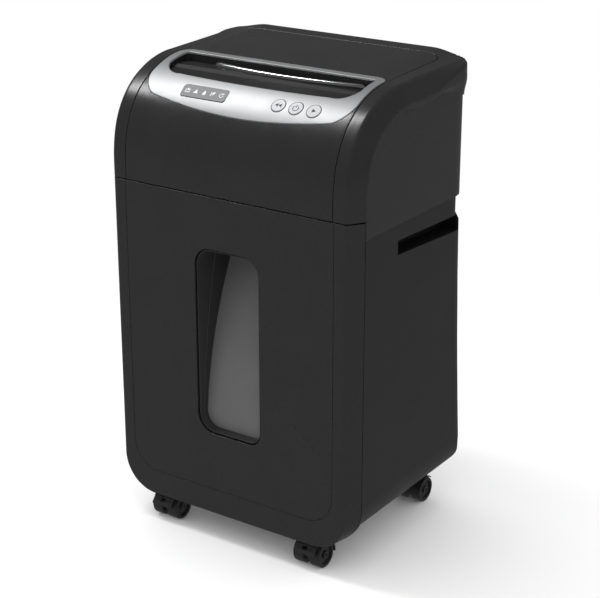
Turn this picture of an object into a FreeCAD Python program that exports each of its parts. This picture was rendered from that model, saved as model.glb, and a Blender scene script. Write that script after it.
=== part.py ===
import FreeCAD, Part
import math
import os

# Pull-out-bin paper shredder on four swivel casters, in millimetres.
# The drawing frame has y = 0 on the bin's front face, y growing to the rear, z = 0 on the floor
# and x = 0 on the middle plane.  save() moves every piece back by ORIGIN_Y, so that the origin
# ends in the middle of the footprint.

os.makedirs("parts", exist_ok=True)
V = FreeCAD.Vector

# Driving dimensions of the housing.
ORIGIN_Y = 141.0            # half of the overall depth
FACE_HALF = 170.0           # half width of the front face, up to its corner lines
OUTER_HALF = 183.3          # half width over the raised border
SIDE_HALF = 180.0           # half width over the flat side panels
STRIP_DEPTH = 20.0          # depth of the slanted strip beside the front face
BORDER_REAR = 26.0          # rear edge of the raised border on the side
WALL = 3.0                  # moulded wall thickness
SEAM_Z = 460.0              # joint between bin front and head
HEAD_BOTTOM_Z = 436.0       # lower edge of the head's side and rear walls
BOTTOM_Z = 37.0             # underside of the bin front
FLOOR_Z = 40.0              # underside of the cabinet
CORNER_R = 60.0             # lower corners in front view, on the border
HEAD_ARC_START_Z = 480.0    # where the head's front starts to curve back
# (radius, slope in degrees at its end) of the four tangent arcs from the front face to the top:
# at the top's side edges, and over the crown in the middle, which rises more to the rear.
HEAD_ARCS = ((170.0, 77.0), (100.0, 30.0), (130.0, 4.0), (3200.0, 1.2))
CROWN_ARCS = HEAD_ARCS[:3] + ((89500.0, 3.9),)
CROWN_HALF = 125.0
HEAD_DEPTH = 268.0          # rear of the head's raised rim
HEAD_REAR = 265.0           # rear wall of the head below the rim
REAR_CORNER_R = 27.0
SHOULDER_Z = 583.0          # above this height the sides and the rear lean in a little
SHOULDER_DRAFT = 0.07
FASCIA_HALF = 151.0         # half width of the middle cover between its two grooves
FASCIA_REAR = 242.0
PANEL_SPLIT = 150.0         # side panels start outside this half width

# Feed opening and control panel.
SLOT_HALF = 111.0           # 222 mm entry for A4 and letter sheets
SLOT_FRONT = 105.8
SLOT_REAR = 111.4
PANEL_Y = 38.0              # point on the curved front where the control panel's plane touches
PANEL_TILT = 36.8           # slope of the surface there, degrees
BAR_R = 3.2                 # chrome wear bar in front of the slot
BAR_HALF = 108.0
BAR_BOW = 11.0              # how far its middle stands in front of its ends
BAR_END_Y, BAR_Z = 103.0, 592.0
BUTTON_X = (51.4, 75.7, 100.3)
BUTTON_NAMES = ("reverse_button", "power_button", "forward_button")
BUTTON_R = 9.0
BOARD_TOP = -15.0           # depth of the control board under the panel's plane
DISPLAY_X = (-89.0, -23.0)
DISPLAY_HALF_H = 9.0

# Cutting block, drawn about its own middle and set BLOCK_X to the right of the housing's.
BLOCK_X = 20.0
SHAFT_FRONT = (89.0, 497.0)     # y, z of the front cutter shaft
SHAFT_REAR = (129.0, 497.0)
DISC_R = 22.0
DISC_PITCH = 8.0
DISC_W = 3.6
DISC_COUNT = 28
CORE_R = 14.0
JOURNAL_R = 7.0
RUNNING_FIT = 0.05              # radial clearance of turning fits
PLATE_X = 117.0                 # inner face of the cutter side plates
PLATE_T = 3.0
IDLER = (184.4, 506.8)          # y, z of the reduction gear's pin
MOTOR = (211.2, 491.3)          # y, z of the motor's axis
GEAR_PLANE_1 = (126.0, 134.0)   # x range of the first gear plane
GEAR_PLANE_2 = (137.0, 145.0)

# Bin.
TUB_HALF = 166.0
TUB_TOP_Z = 378.0
TUB_BOTTOM_Z = 50.0
TUB_REAR = 244.0
WINDOW_HALF = 48.0
WINDOW_Z = (149.0, 393.5)
WINDOW_CORNER_R = 15.0
# y, z of the inclined window pane's front surface: bottom, middle, top.
PANE_CURVE = ((14.0, 150.0), (31.0, 262.0), (85.0, 392.5))
PANE_T = 2.5

# Casters.
WHEEL_R = 17.0
WHEEL_X = (4.0, 19.5)
TRAIL = 14.0
STEM_R = 4.0
AXLE_R = 2.0
# name, stem x, stem y, direction of the trail
CASTERS = (("front_left", -112.0, 36.0, -1), ("front_right", 112.0, 36.0, -1),
           ("rear_left", -126.0, 229.0, 1), ("rear_right", 126.0, 229.0, 1))


def save(name, *solids, x=0.0):
    """Writes the solids as one node, moved so that the origin is under the middle of the part."""
    shape = solids[0] if len(solids) == 1 else Part.makeCompound(list(solids))
    shape = shape.copy()
    shape.translate(V(x, -ORIGIN_Y, 0))
    shape.exportStep("parts/" + name + ".step")
    print(name, len(shape.Solids), round(shape.Volume), shape.isValid())


def box(x, y, z):
    """A block given by its x, y and z ranges."""
    return Part.makeBox(x[1] - x[0], y[1] - y[0], z[1] - z[0], V(x[0], y[0], z[0]))


def rod_x(radius, x, y, z):
    return Part.makeCylinder(radius, x[1] - x[0], V(x[0], y, z), V(1, 0, 0))


def rod_y(radius, x, y, z):
    return Part.makeCylinder(radius, y[1] - y[0], V(x, y[0], z), V(0, 1, 0))


def rod_z(radius, x, y, z):
    return Part.makeCylinder(radius, z[1] - z[0], V(x, y, z[0]), V(0, 0, 1))


def polygon(points):
    return Part.makePolygon([V(*p) for p in points] + [V(*points[0])])


def plate_x(points, x):
    """A polygon of (y, z) points, extruded over the x range."""
    return Part.Face(polygon([(x[0], p[0], p[1]) for p in points])).extrude(V(x[1] - x[0], 0, 0))


def fuse(solids):
    solids = list(solids)
    return solids[0].multiFuse(solids[1:]).removeSplitter() if len(solids) > 1 else solids[0]


def mirror_x(shape):
    return shape.mirror(V(0, 0, 0), V(1, 0, 0))


def both_sides(shape):
    return [shape, mirror_x(shape)]


def line(a, b):
    return Part.LineSegment(V(*a), V(*b)).toShape()


def arc(a, middle, b):
    return Part.Arc(V(*a), V(*middle), V(*b)).toShape()


def rounded_block(x, y, z, radius, axis):
    """A block whose four edges along the axis (V(1,0,0) and so on) are rounded."""
    block = box(x, y, z)
    edges = [e for e in block.Edges if abs(e.tangentAt(e.FirstParameter).dot(axis)) > 0.99]
    return block.makeFillet(radius, edges)


# ---------------------------------------------------------------- head: outer form

def head_profile(inset, x, arcs=HEAD_ARCS):
    """Side view of the head as a closed wire at x, its front and top moved in by inset."""
    y, z = inset, HEAD_ARC_START_Z
    edges = [line((x, y, 380.0), (x, y, z))]
    slope = 90.0
    for radius, end_slope in arcs:
        r = radius - inset
        points = []
        for s in (slope, (slope + end_slope) / 2, end_slope):
            turned, start = math.radians(s), math.radians(slope)
            points.append((x, y + r * (math.sin(start) - math.sin(turned)),
                           z + r * (math.cos(turned) - math.cos(start))))
        edges.append(arc(*points))
        y, z = points[2][1], points[2][2]
        slope = end_slope
    end_y = 330.0
    end_z = z + (end_y - y) * math.tan(math.radians(slope))
    edges.append(line((x, y, z), (x, end_y, end_z)))
    edges.append(line((x, end_y, end_z), (x, end_y, 380.0)))
    edges.append(line((x, end_y, 380.0), (x, inset, 380.0)))
    return Part.Wire(edges)


def surface_z(y):
    """Height of the head's outer surface on the middle plane at y."""
    wall = Part.Face(head_profile(0.0, 0.0, CROWN_ARCS))
    ray = line((0, y, 390.0), (0, y, 700.0))
    return wall.common(ray).BoundBox.ZMax


def plan_wire(half, depth, radius, z):
    """Plan outline open-cornered at the front and rounded at the two rear corners."""
    k = radius * (1 - math.sqrt(0.5))
    front = -20.0
    return Part.Wire([
        line((-half, front, z), (half, front, z)),
        line((half, front, z), (half, depth - radius, z)),
        arc((half, depth - radius, z), (half - k, depth - k, z), (half - radius, depth, z)),
        line((half - radius, depth, z), (-half + radius, depth, z)),
        arc((-half + radius, depth, z), (-half + k, depth - k, z), (-half, depth - radius, z)),
        line((-half, depth - radius, z), (-half, front, z))])


def plan_prism(half, depth, radius, z):
    return Part.Face(plan_wire(half, depth, radius, z[0])).extrude(V(0, 0, z[1] - z[0]))


def side_field(t):
    """Everything outside the flat sides and the flat rear wall, below the arc of the raised rim."""
    region = Part.Face(Part.Wire([
        line((-220, BORDER_REAR - t, 380), (-220, BORDER_REAR - t, 508)),
        arc((-220, BORDER_REAR - t, 508), (-220, 49 - 0.7 * t, 552 + 0.7 * t), (-220, 100, 571 + t)),
        arc((-220, 100, 571 + t), (-220, 200, 575.5 + t), (-220, 300, 565 + t)),
        line((-220, 300, 565 + t), (-220, 300, 380)),
        line((-220, 300, 380), (-220, BORDER_REAR - t, 380))])).extrude(V(440, 0, 0))
    keep = plan_prism(SIDE_HALF - t, HEAD_REAR - t, REAR_CORNER_R - 2 - t, (370, 600))
    return region.cut(keep)


def head_block(t):
    """The head's outer form, moved in by t on every side."""
    edge = FACE_HALF - t / 2
    rim = OUTER_HALF - t
    crown = head_profile(t, CROWN_HALF, CROWN_ARCS)
    middle = Part.Face(crown).extrude(V(-2 * CROWN_HALF, 0, 0))
    shoulder = Part.makeLoft([crown, head_profile(t, edge)], True, True)
    flank = Part.makeLoft([head_profile(t, edge), head_profile(STRIP_DEPTH + t, rim)], True, True)
    body = fuse([middle, shoulder, mirror_x(shoulder), flank, mirror_x(flank)])
    lean, rise = 50 * SHOULDER_DRAFT, 50
    lower = plan_prism(rim, HEAD_DEPTH - t, REAR_CORNER_R - t, (370, SHOULDER_Z))
    upper = Part.makeLoft([
        plan_wire(rim, HEAD_DEPTH - t, REAR_CORNER_R - t, SHOULDER_Z),
        plan_wire(rim - lean, HEAD_DEPTH - t - lean, REAR_CORNER_R - t + lean, SHOULDER_Z + rise)],
        True, True)
    return body.common(lower.fuse(upper)).cut(side_field(t))


outer_head = head_block(0.0)
head_room = head_block(WALL)
skin = outer_head.cut(head_room)
skin = skin.cut(box((-200, 200), (-30, 300), (360, HEAD_BOTTOM_Z)))
skin = skin.cut(box((-200, 200), (-30, STRIP_DEPTH + 0.5), (360, SEAM_Z)))


# ---------------------------------------------------------------- control panel outlines

def bezel_prism():
    half, rear = 150.0, 123.0
    wire = Part.Wire([
        arc((-128, 29, 540), (0, 20.5, 540), (128, 29, 540)),
        arc((128, 29, 540), (144, 39, 540), (half, 60, 540)),
        line((half, 60, 540), (half, rear, 540)),
        line((half, rear, 540), (-half, rear, 540)),
        line((-half, rear, 540), (-half, 60, 540)),
        arc((-half, 60, 540), (-144, 39, 540), (-128, 29, 540))])
    block = Part.Face(wire).extrude(V(0, 0, 80))
    corners = [e for e in block.Edges
               if abs(e.tangentAt(0).z) > 0.99 and abs(e.BoundBox.YMax - rear) < 0.1]
    return block.makeFillet(15.0, corners)


def trough_prism(grow):
    """Outline of the feed trough, made larger all round by grow."""
    half, rear = 138.0, 112.0
    wire = Part.Wire([
        arc((-109, 58.5, 540), (0, 56, 540), (109, 58.5, 540)),
        arc((109, 58.5, 540), (130, 64.5, 540), (half, 77, 540)),
        line((half, 77, 540), (half, rear, 540)),
        line((half, rear, 540), (-half, rear, 540)),
        line((-half, rear, 540), (-half, 77, 540)),
        arc((-half, 77, 540), (-130, 64.5, 540), (-109, 58.5, 540))])
    if grow:
        wire = wire.makeOffset2D(grow)
    block = Part.Face(wire).extrude(V(0, 0, 80))
    corners = [e for e in block.Edges
               if abs(e.tangentAt(0).z) > 0.99 and e.BoundBox.YMax > rear - 0.5]
    return block.makeFillet(5.0, corners) if not grow else block


def on_panel(shape):
    """Moves a piece from the control panel's own frame (z out of the surface) to its place."""
    shape = shape.copy()
    turn = FreeCAD.Rotation(V(1, 0, 0), PANEL_TILT)
    shape.Placement = FreeCAD.Placement(V(0, PANEL_Y, PANEL_Z), turn).multiply(shape.Placement)
    return shape


PANEL_Z = surface_z(PANEL_Y)
bezel_outline = bezel_prism()
trough_hole = trough_prism(0.0)
bezel_layer = head_block(-0.6).cut(head_block(2.0)).common(bezel_outline)
button_holes = [on_panel(rod_z(BUTTON_R + 0.4, x, 0, (-8, 6))) for x in BUTTON_X]
display_hole = on_panel(rounded_block((DISPLAY_X[0], DISPLAY_X[1]), (-DISPLAY_HALF_H, DISPLAY_HALF_H),
                                      (-2.2, 3), 4.0, V(0, 0, 1)))
light_hole = on_panel(box((DISPLAY_X[0] + 3, DISPLAY_X[1] - 3), (-6, 6), (-8, 3)))

control_bezel = bezel_layer.cut(trough_hole).cut(Part.makeCompound(button_holes)).cut(display_hole)
save("control_bezel", control_bezel)

# ---------------------------------------------------------------- head: covers

fascia_field = plan_prism(FASCIA_HALF, FASCIA_REAR, 18.0, (SEAM_Z, 640))
fascia_gap = plan_prism(FASCIA_HALF + 0.4, FASCIA_REAR + 0.4, 18.4, (SEAM_Z - 1, 640))
post_places = ((-104, 11), (-104, -11), (118, 11), (118, -11))
posts = [on_panel(rod_z(3.0, x, y, (BOARD_TOP, -2.4))) for x, y in post_places]
head_fascia = fuse([skin.common(fascia_field)] + posts)
head_fascia = head_fascia.cut(head_block(-1.0).cut(head_block(2.0)).common(bezel_outline))
head_fascia = head_fascia.cut(trough_hole).cut(Part.makeCompound(button_holes)).cut(light_hole)
save("head_fascia", head_fascia)

GRILLE_X = (-75.0, 75.0)
GRILLE_Z = (478.0, 540.0)
GLAND_X, GLAND_Z = -100.0, 462.0
rear_screws = [(-138.0, 450.0), (138.0, 450.0), (-138.0, 552.0), (138.0, 552.0)]


def screw_y(x, y_face, z, length=12.0):
    """A pan-head screw driven forward (-y) through a wall whose outer face is at y_face."""
    head = rod_y(3.8, x, (y_face, y_face + 2.0), z)
    slot = box((x - 3, x + 3), (y_face + 1.2, y_face + 3), (z - 0.5, z + 0.5))
    cross = box((x - 0.5, x + 0.5), (y_face + 1.2, y_face + 3), (z - 3, z + 3))
    return fuse([head, rod_y(1.6, x, (y_face - length, y_face), z)]).cut(slot).cut(cross)


head_screws = [screw_y(x, HEAD_REAR, z) for x, z in rear_screws]
head_shell = skin.cut(fascia_gap)
head_shell = head_shell.cut(box(GRILLE_X, (255, 275), GRILLE_Z))
head_shell = head_shell.cut(rod_y(6.0, GLAND_X, (250, 275), GLAND_Z))
for x, z in rear_screws:
    head_shell = head_shell.cut(rod_y(1.6, x, (250, 275), z))
save("head_shell", head_shell)
save("head_screws", *head_screws)

slots = [box((x - 2.5, x + 2.5), (255, 275), (GRILLE_Z[0] + 6, GRILLE_Z[1] - 6))
         for x in [GRILLE_X[0] + 9 + 12 * i for i in range(12)]]
rear_grille = box(GRILLE_X, (HEAD_REAR - 3, HEAD_REAR), GRILLE_Z).cut(Part.makeCompound(slots))
save("rear_grille", rear_grille)

gland = fuse([rod_y(9.5, GLAND_X, (HEAD_REAR, HEAD_REAR + 3), GLAND_Z),
              rod_y(6.0, GLAND_X, (HEAD_REAR - WALL, HEAD_REAR), GLAND_Z),
              rod_y(8.5, GLAND_X, (HEAD_REAR - 6, HEAD_REAR - WALL), GLAND_Z)])
save("cord_gland", gland.cut(rod_y(3.6, GLAND_X, (250, 275), GLAND_Z)))

# Tray that closes the head from below, with the outlet for the shreds.
base_outline = plan_prism(SIDE_HALF - WALL - 0.4, HEAD_REAR - WALL - 0.4, 26.0,
                          (HEAD_BOTTOM_Z, HEAD_BOTTOM_Z + 4))
head_base = fuse([
    base_outline.cut(box((-200, 200), (-30, 21.5), (430, 445))),
    box((-168, 168), (21.5, 24.5), (HEAD_BOTTOM_Z, SEAM_Z + 3)),
    box((-165, 165), (4.0, 24.5), (SEAM_Z + 0.5, SEAM_Z + 3))])
head_base = head_base.cut(box((BLOCK_X - 115, BLOCK_X + 115), (84, 134), (430, 445)))
save("head_base", head_base)

# ---------------------------------------------------------------- feed opening

floor_line = [(50, 580), (56, 583), (80, 587), (86, 590), (SLOT_FRONT, 590)]
trough_room = plate_x(floor_line + [(SLOT_FRONT, 640), (50, 640)], (-150, 150))
trough_room = trough_room.fuse(box((-150, 150), (SLOT_FRONT - 0.1, 112), (588.6, 640)))
basin_under = plate_x([(50, 577.4), (56, 580.4), (80, 584.4), (87, 587), (116, 587), (116, 640),
                       (50, 640)], (-150, 150))
basin = trough_prism(2.5).common(head_room).common(basin_under)
basin = basin.cut(trough_hole.common(trough_room))
slot_x = (BLOCK_X - SLOT_HALF, BLOCK_X + SLOT_HALF)
chute_outer = box((slot_x[0] - 2.5, slot_x[1] + 2.5), (SLOT_FRONT - 2.5, SLOT_REAR + 2.5), (521, 588))
slot_space = box(slot_x, (SLOT_FRONT, SLOT_REAR), (510, 640))
feed_throat = basin.fuse(chute_outer.cut(trough_room)).cut(slot_space).removeSplitter()

# Chrome wear bar along the front lip of the slot, bowed towards the front and let into the floor.
bar_bend = (BAR_HALF ** 2 + BAR_BOW ** 2) / (2 * BAR_BOW)
bar_centre = V(BLOCK_X, BAR_END_Y - BAR_BOW + bar_bend, BAR_Z)
bar_angle = math.degrees(math.asin(BAR_HALF / bar_bend))
bar_middle = V(BLOCK_X, BAR_END_Y - BAR_BOW, BAR_Z)
circle = Part.Face(Part.Wire(Part.makeCircle(BAR_R, bar_middle, V(1, 0, 0))))
circle.rotate(bar_centre, V(0, 0, 1), -bar_angle)
guide_bar = circle.revolve(bar_centre, V(0, 0, 1), 2 * bar_angle)
save("guide_bar", guide_bar)
save("feed_throat", feed_throat.cut(guide_bar))

# ---------------------------------------------------------------- control panel pieces

save("display_window", on_panel(rounded_block(DISPLAY_X, (-DISPLAY_HALF_H, DISPLAY_HALF_H),
                                              (-1.2, 0.8), 4.0, V(0, 0, 1))))
light_x = [DISPLAY_X[0] + 8 + 12.5 * i for i in range(5)]
save("indicator_lights", *[on_panel(rod_z(2.4, x, 0, (BOARD_TOP, BOARD_TOP + 6))) for x in light_x])
board = box((-112, 126), (-14, 14), (BOARD_TOP - 1.6, BOARD_TOP))
chip = box((-10, 8), (-6, 6), (BOARD_TOP, BOARD_TOP + 2.2))
socket = box((14, 30), (-12, -5), (BOARD_TOP - 8, BOARD_TOP - 1.6))
save("control_board", *[on_panel(s) for s in (board, chip, socket)])
switches = [fuse([box((x - 3, x + 3), (-3, 3), (BOARD_TOP, BOARD_TOP + 3.5)),
                  rod_z(1.75, x, 0, (BOARD_TOP + 3.5, BOARD_TOP + 4.4))]) for x in BUTTON_X]
save("tactile_switches", *[on_panel(s) for s in switches])
for name, x in zip(BUTTON_NAMES, BUTTON_X):
    cap = rod_z(BUTTON_R, x, 0, (-4.6, 1.2))
    rim = [e for e in cap.Edges if abs(e.BoundBox.ZMin - 1.2) < 0.01 and e.Closed]
    cap = cap.makeFillet(0.8, rim)
    flange = rod_z(BUTTON_R + 1.5, x, 0, (-6.0, -4.6))
    stem = rod_z(2.5, x, 0, (-9.2, -6.0))
    save(name, on_panel(fuse([cap, flange, stem])))

# ---------------------------------------------------------------- cutting block


def toothed_disc(centre, x0, phase):
    """One cutting disc: nine hooked teeth on its rim."""
    points = []
    for k in range(9):
        for r, step in ((DISC_R, 0.0), (DISC_R - 3.2, 5.0), (DISC_R - 2.0, 22.0)):
            a = math.radians(phase + 40.0 * k + step)
            points.append((centre[0] + r * math.cos(a), centre[1] + r * math.sin(a)))
    return plate_x(points, (x0, x0 + DISC_W))


def cutter_shaft(centre, first_x, journal_end):
    """A shaft machined in one piece with its row of cutting discs."""
    core = rod_x(CORE_R, (-PLATE_X + 1, PLATE_X - 1), *centre)
    journal = rod_x(JOURNAL_R, (-PLATE_X - PLATE_T - 1, journal_end), *centre)
    discs = [toothed_disc(centre, first_x + DISC_PITCH * i, 11.0 * i) for i in range(DISC_COUNT)]
    return fuse([core, journal] + discs)


save("cutter_shaft_front", cutter_shaft(SHAFT_FRONT, -113.8, GEAR_PLANE_1[1] + 1), x=BLOCK_X)
save("cutter_shaft_rear", cutter_shaft(SHAFT_REAR, -109.8, GEAR_PLANE_2[1] + 1), x=BLOCK_X)

tie_places = [(57.0, 448.0), (161.0, 448.0), (57.0, 522.0), (161.0, 522.0)]
block_z = HEAD_BOTTOM_Z + 4     # the block stands on the head's base
plate_outline = [(50, block_z), (168, block_z), (168, 518), (156, 530), (62, 530), (50, 518)]
right_outline = [(50, block_z), (248, block_z), (248, 520), (236, 530), (62, 530), (50, 518)]
bores = [rod_x(10.0, (-125, 125), *SHAFT_FRONT), rod_x(10.0, (-125, 125), *SHAFT_REAR)]
bores += [rod_x(2.5, (-125, 125), *place) for place in tie_places]
left_plate = plate_x(plate_outline, (-PLATE_X - PLATE_T, -PLATE_X))
right_plate = plate_x(right_outline, (PLATE_X, PLATE_X + PLATE_T))
for bore in bores:
    left_plate = left_plate.cut(bore)
    right_plate = right_plate.cut(bore)
right_plate = right_plate.cut(rod_x(12.0, (110, 125), *MOTOR)).cut(rod_x(4.0, (110, 125), *IDLER))
save("cutter_plate_left", left_plate, x=BLOCK_X)
save("cutter_plate_right", right_plate, x=BLOCK_X)

ties = [fuse([rod_x(4.0, (-PLATE_X, PLATE_X), *place),
              rod_x(2.5, (-PLATE_X - PLATE_T, PLATE_X + PLATE_T), *place),
              rod_x(4.5, (-PLATE_X - PLATE_T - 3, -PLATE_X - PLATE_T), *place),
              rod_x(4.5, (PLATE_X + PLATE_T, PLATE_X + PLATE_T + 3), *place)]) for place in tie_places]
save("tie_rods", *ties, x=BLOCK_X)

bushes = []
for centre in (SHAFT_FRONT, SHAFT_REAR):
    for x in ((-PLATE_X - PLATE_T, -PLATE_X + 0.4), (PLATE_X - 0.4, PLATE_X + PLATE_T + 1.5)):
        ring = rod_x(10.0, x, *centre).cut(rod_x(JOURNAL_R + RUNNING_FIT, (x[0] - 1, x[1] + 1), *centre))
        bushes.append(ring)
save("shaft_bushes", *bushes, x=BLOCK_X)


def stripper_comb(shaft, bar_y, tip_y, first_gap):
    """A bar across the block with one finger in every gap between the discs of its shaft."""
    bar = box((-PLATE_X, PLATE_X), bar_y, (488, 506))
    reach = (bar_y[1] - 0.5, tip_y) if tip_y > bar_y[1] else (tip_y, bar_y[0] + 0.5)
    fingers = [box((first_gap + DISC_PITCH * i, first_gap + 2.8 + DISC_PITCH * i), reach, (490, 504))
               for i in range(DISC_COUNT - 1)]
    return fuse([bar] + fingers).cut(rod_x(CORE_R + 0.8, (-130, 130), *shaft))


save("stripper_combs", stripper_comb(SHAFT_FRONT, (56.0, 62.0), 82.0, -109.4),
     stripper_comb(SHAFT_REAR, (156.0, 162.0), 136.0, -105.4), x=BLOCK_X)

# ---------------------------------------------------------------- gear train


def gear(module, teeth, centre, x, bore, phase=0.0):
    """Straight involute gear, 20 degree pressure angle, teeth thinned for backlash."""
    pitch_r = module * teeth / 2
    base_r = pitch_r * math.cos(math.radians(20))
    tip_r = pitch_r + 0.9 * module
    root_r = pitch_r - 1.2 * module

    def involute(r):
        a = math.acos(min(1.0, base_r / r))
        return math.tan(a) - a

    half_pitch = math.pi / (2 * teeth) * 0.92 + involute(pitch_r)
    radii = [max(base_r, root_r) + (tip_r - max(base_r, root_r)) * k / 4 for k in range(5)]
    points = []
    for n in range(teeth):
        middle = math.radians(phase) + 2 * math.pi * n / teeth
        flank = [(r, half_pitch - involute(r)) for r in radii]
        flank = [(root_r, flank[0][1])] + flank
        outline = [(r, -a) for r, a in flank] + [(r, a) for r, a in reversed(flank)]
        for r, a in outline:
            points.append((centre[0] + r * math.cos(middle + a), centre[1] + r * math.sin(middle + a)))
    return plate_x(points, x).cut(rod_x(bore, (x[0] - 1, x[1] + 1), *centre))


def mesh_phase(fixed_teeth, fixed_phase, direction, teeth):
    """Phase of a gear that meshes with a fixed one whose line of centres points along direction."""
    pitch = 360.0 / fixed_teeth
    offset = (direction - fixed_phase) % pitch / pitch
    return direction + 180.0 - (0.5 - offset) * 360.0 / teeth


def direction(a, b):
    return math.degrees(math.atan2(b[1] - a[1], b[0] - a[0]))


save("shaft_gear_front", gear(2.0, 20, SHAFT_FRONT, GEAR_PLANE_1, JOURNAL_R, 0.0), x=BLOCK_X)
rear_phase = mesh_phase(20, 0.0, 0.0, 20)
save("shaft_gear_rear", gear(2.0, 20, SHAFT_REAR, GEAR_PLANE_1, JOURNAL_R, rear_phase), x=BLOCK_X)
save("drive_gear", gear(1.5, 60, SHAFT_REAR, GEAR_PLANE_2, JOURNAL_R, 0.0), x=BLOCK_X)
to_idler = direction(SHAFT_REAR, IDLER)
small_phase = mesh_phase(60, 0.0, to_idler, 15)
idler_bore = 4.0 + RUNNING_FIT
idler = fuse([gear(1.5, 15, IDLER, GEAR_PLANE_2, idler_bore, small_phase),
              gear(1.0, 50, IDLER, GEAR_PLANE_1, idler_bore, 0.0),
              rod_x(8.5, (GEAR_PLANE_1[1] - 0.5, GEAR_PLANE_2[0] + 0.5), *IDLER).cut(
                  rod_x(idler_bore, (120, 150), *IDLER))])
save("idler_gear", idler, x=BLOCK_X)
save("idler_pin", fuse([rod_x(4.0, (PLATE_X, GEAR_PLANE_2[1] + 3), *IDLER),
                        rod_x(6.0, (PLATE_X + PLATE_T, GEAR_PLANE_1[0] - 0.6), *IDLER)]), x=BLOCK_X)
to_motor = direction(IDLER, MOTOR)
pinion_phase = mesh_phase(50, 0.0, to_motor, 12)
pinion = fuse([gear(1.0, 12, MOTOR, GEAR_PLANE_1, 3.0, pinion_phase),
               rod_x(3.0, (112.5, GEAR_PLANE_1[1] + 1), *MOTOR)])
save("motor_pinion", pinion, x=BLOCK_X)

motor = fuse([rod_x(32.0, (40, 110), *MOTOR), rod_x(27.0, (22, 40), *MOTOR),
              rod_x(11.9, (110, PLATE_X + PLATE_T), *MOTOR), rod_x(20.0, (109, PLATE_X), *MOTOR)])
motor = motor.cut(rod_x(3.0 + RUNNING_FIT, (112, 125), *MOTOR))
save("motor", motor, x=BLOCK_X)
saddle = box((48, 62), (MOTOR[0] - 30, MOTOR[0] + 30), (block_z, MOTOR[1] - 8))
save("motor_saddle", saddle.cut(rod_x(32.0, (40, 70), *MOTOR)), x=BLOCK_X)

guard = box((149, 151), (56, 244), (442, 546))
guard_posts = [rod_x(3.5, (PLATE_X + PLATE_T, 149), y, z) for y, z in ((58, 500), (150, 446), (243, 450))]
guard = fuse([guard.cut(box((148, 152), (56, 90), (525, 546)))] + guard_posts)
save("gear_guard", guard, x=BLOCK_X)

# ---------------------------------------------------------------- electrics in the head

board_top = 456.6
power_parts = [box((-160, -50), (175, 245), (455, board_top)),
               box((-150, -112), (190, 230), (board_top, board_top + 34)),
               box((-105, -86), (185, 200), (board_top, board_top + 16)),
               box((-105, -86), (205, 220), (board_top, board_top + 16)),
               rod_z(8.0, -70, 232, (board_top, board_top + 25)),
               box((-80, -56), (182, 186), (board_top, board_top + 22))]
power_parts += [rod_z(3.0, x, y, (block_z, 455)) for x in (-156, -54) for y in (179, 241)]
save("power_board", *power_parts)
paper_sensor = box((BLOCK_X - 8, BLOCK_X + 8), (SLOT_REAR + 2.5, SLOT_REAR + 9), (545, 562))
bin_switch = fuse([box((132, 150), (27, 39), (HEAD_BOTTOM_Z - 13, HEAD_BOTTOM_Z)),
                   box((139, 143), (31, 34), (HEAD_BOTTOM_Z - 17, HEAD_BOTTOM_Z - 13))])
save("sensor_switches", paper_sensor, bin_switch)

# ---------------------------------------------------------------- cabinet


def outline_wire(half, bottom, radius, top, y):
    """Front view of the housing: straight sides and two round lower corners."""
    k = radius * (1 - math.sqrt(0.5))
    return Part.Wire([
        line((-half, y, top), (-half, y, bottom + radius)),
        arc((-half, y, bottom + radius), (-half + k, y, bottom + k), (-half + radius, y, bottom)),
        line((-half + radius, y, bottom), (half - radius, y, bottom)),
        arc((half - radius, y, bottom), (half - k, y, bottom + k), (half, y, bottom + radius)),
        line((half, y, bottom + radius), (half, y, top)),
        line((half, y, top), (-half, y, top))])


def front_outline(half, bottom, radius, top, y):
    """The same outline as a block over the y range."""
    return Part.Face(outline_wire(half, bottom, radius, top, y[0])).extrude(V(0, y[1] - y[0], 0))


# z, depth and rear corner radius of the cabinet's plan sections, from the top down.
NECK_DEPTH, NECK_R = 260.5, 36.0
NECK_Z = 413.0              # lower end of the upright neck below the head
CABINET_SECTIONS = ((NECK_Z, NECK_DEPTH, NECK_R), (402.0, 267.0, 32.0), (330.0, 269.0, 31.0),
                    (238.0, 273.0, 29.0), (151.0, 278.5, 27.0), (95.0, 282.0, 25.0),
                    (68.0, 280.0, 25.0), (50.0, 272.0, 25.0), (FLOOR_Z, 256.0, 25.0))
FRAME_Y = STRIP_DEPTH + 0.5  # front edge of the cabinet, behind the bin front


def cabinet_form(t):
    """The cabinet's outer form, moved in by t, up to the neck."""
    sections = [(z, d - t, r - t) for z, d, r in CABINET_SECTIONS]
    slices = []
    for lower, upper in zip(sections[1:], sections[:-1]):
        wires = [plan_wire(SIDE_HALF - t, d, r, z) for z, d, r in (lower, upper)]
        slices.append(Part.makeLoft(wires, True, True))
    front = front_outline(SIDE_HALF - t, FLOOR_Z + t, CORNER_R - WALL - t, 430.0, (-30.0, 300.0))
    return fuse(slices).common(front)


cabinet = cabinet_form(0.0).cut(cabinet_form(WALL))
border = front_outline(OUTER_HALF, BOTTOM_Z, CORNER_R, HEAD_BOTTOM_Z, (FRAME_Y, BORDER_REAR))
border = border.cut(front_outline(SIDE_HALF - WALL, FLOOR_Z + WALL, CORNER_R - 2 * WALL, 500.0,
                                  (0.0, 40.0)))
neck = plan_prism(SIDE_HALF, NECK_DEPTH, NECK_R, (NECK_Z, HEAD_BOTTOM_Z))
neck_room = plan_prism(SIDE_HALF - WALL, NECK_DEPTH - WALL, NECK_R - WALL, (NECK_Z, 500))
cabinet = fuse([cabinet, neck.cut(neck_room)]).cut(box((-250, 250), (-40, FRAME_Y), (0, 500)))
cabinet = fuse([cabinet, border])

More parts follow.
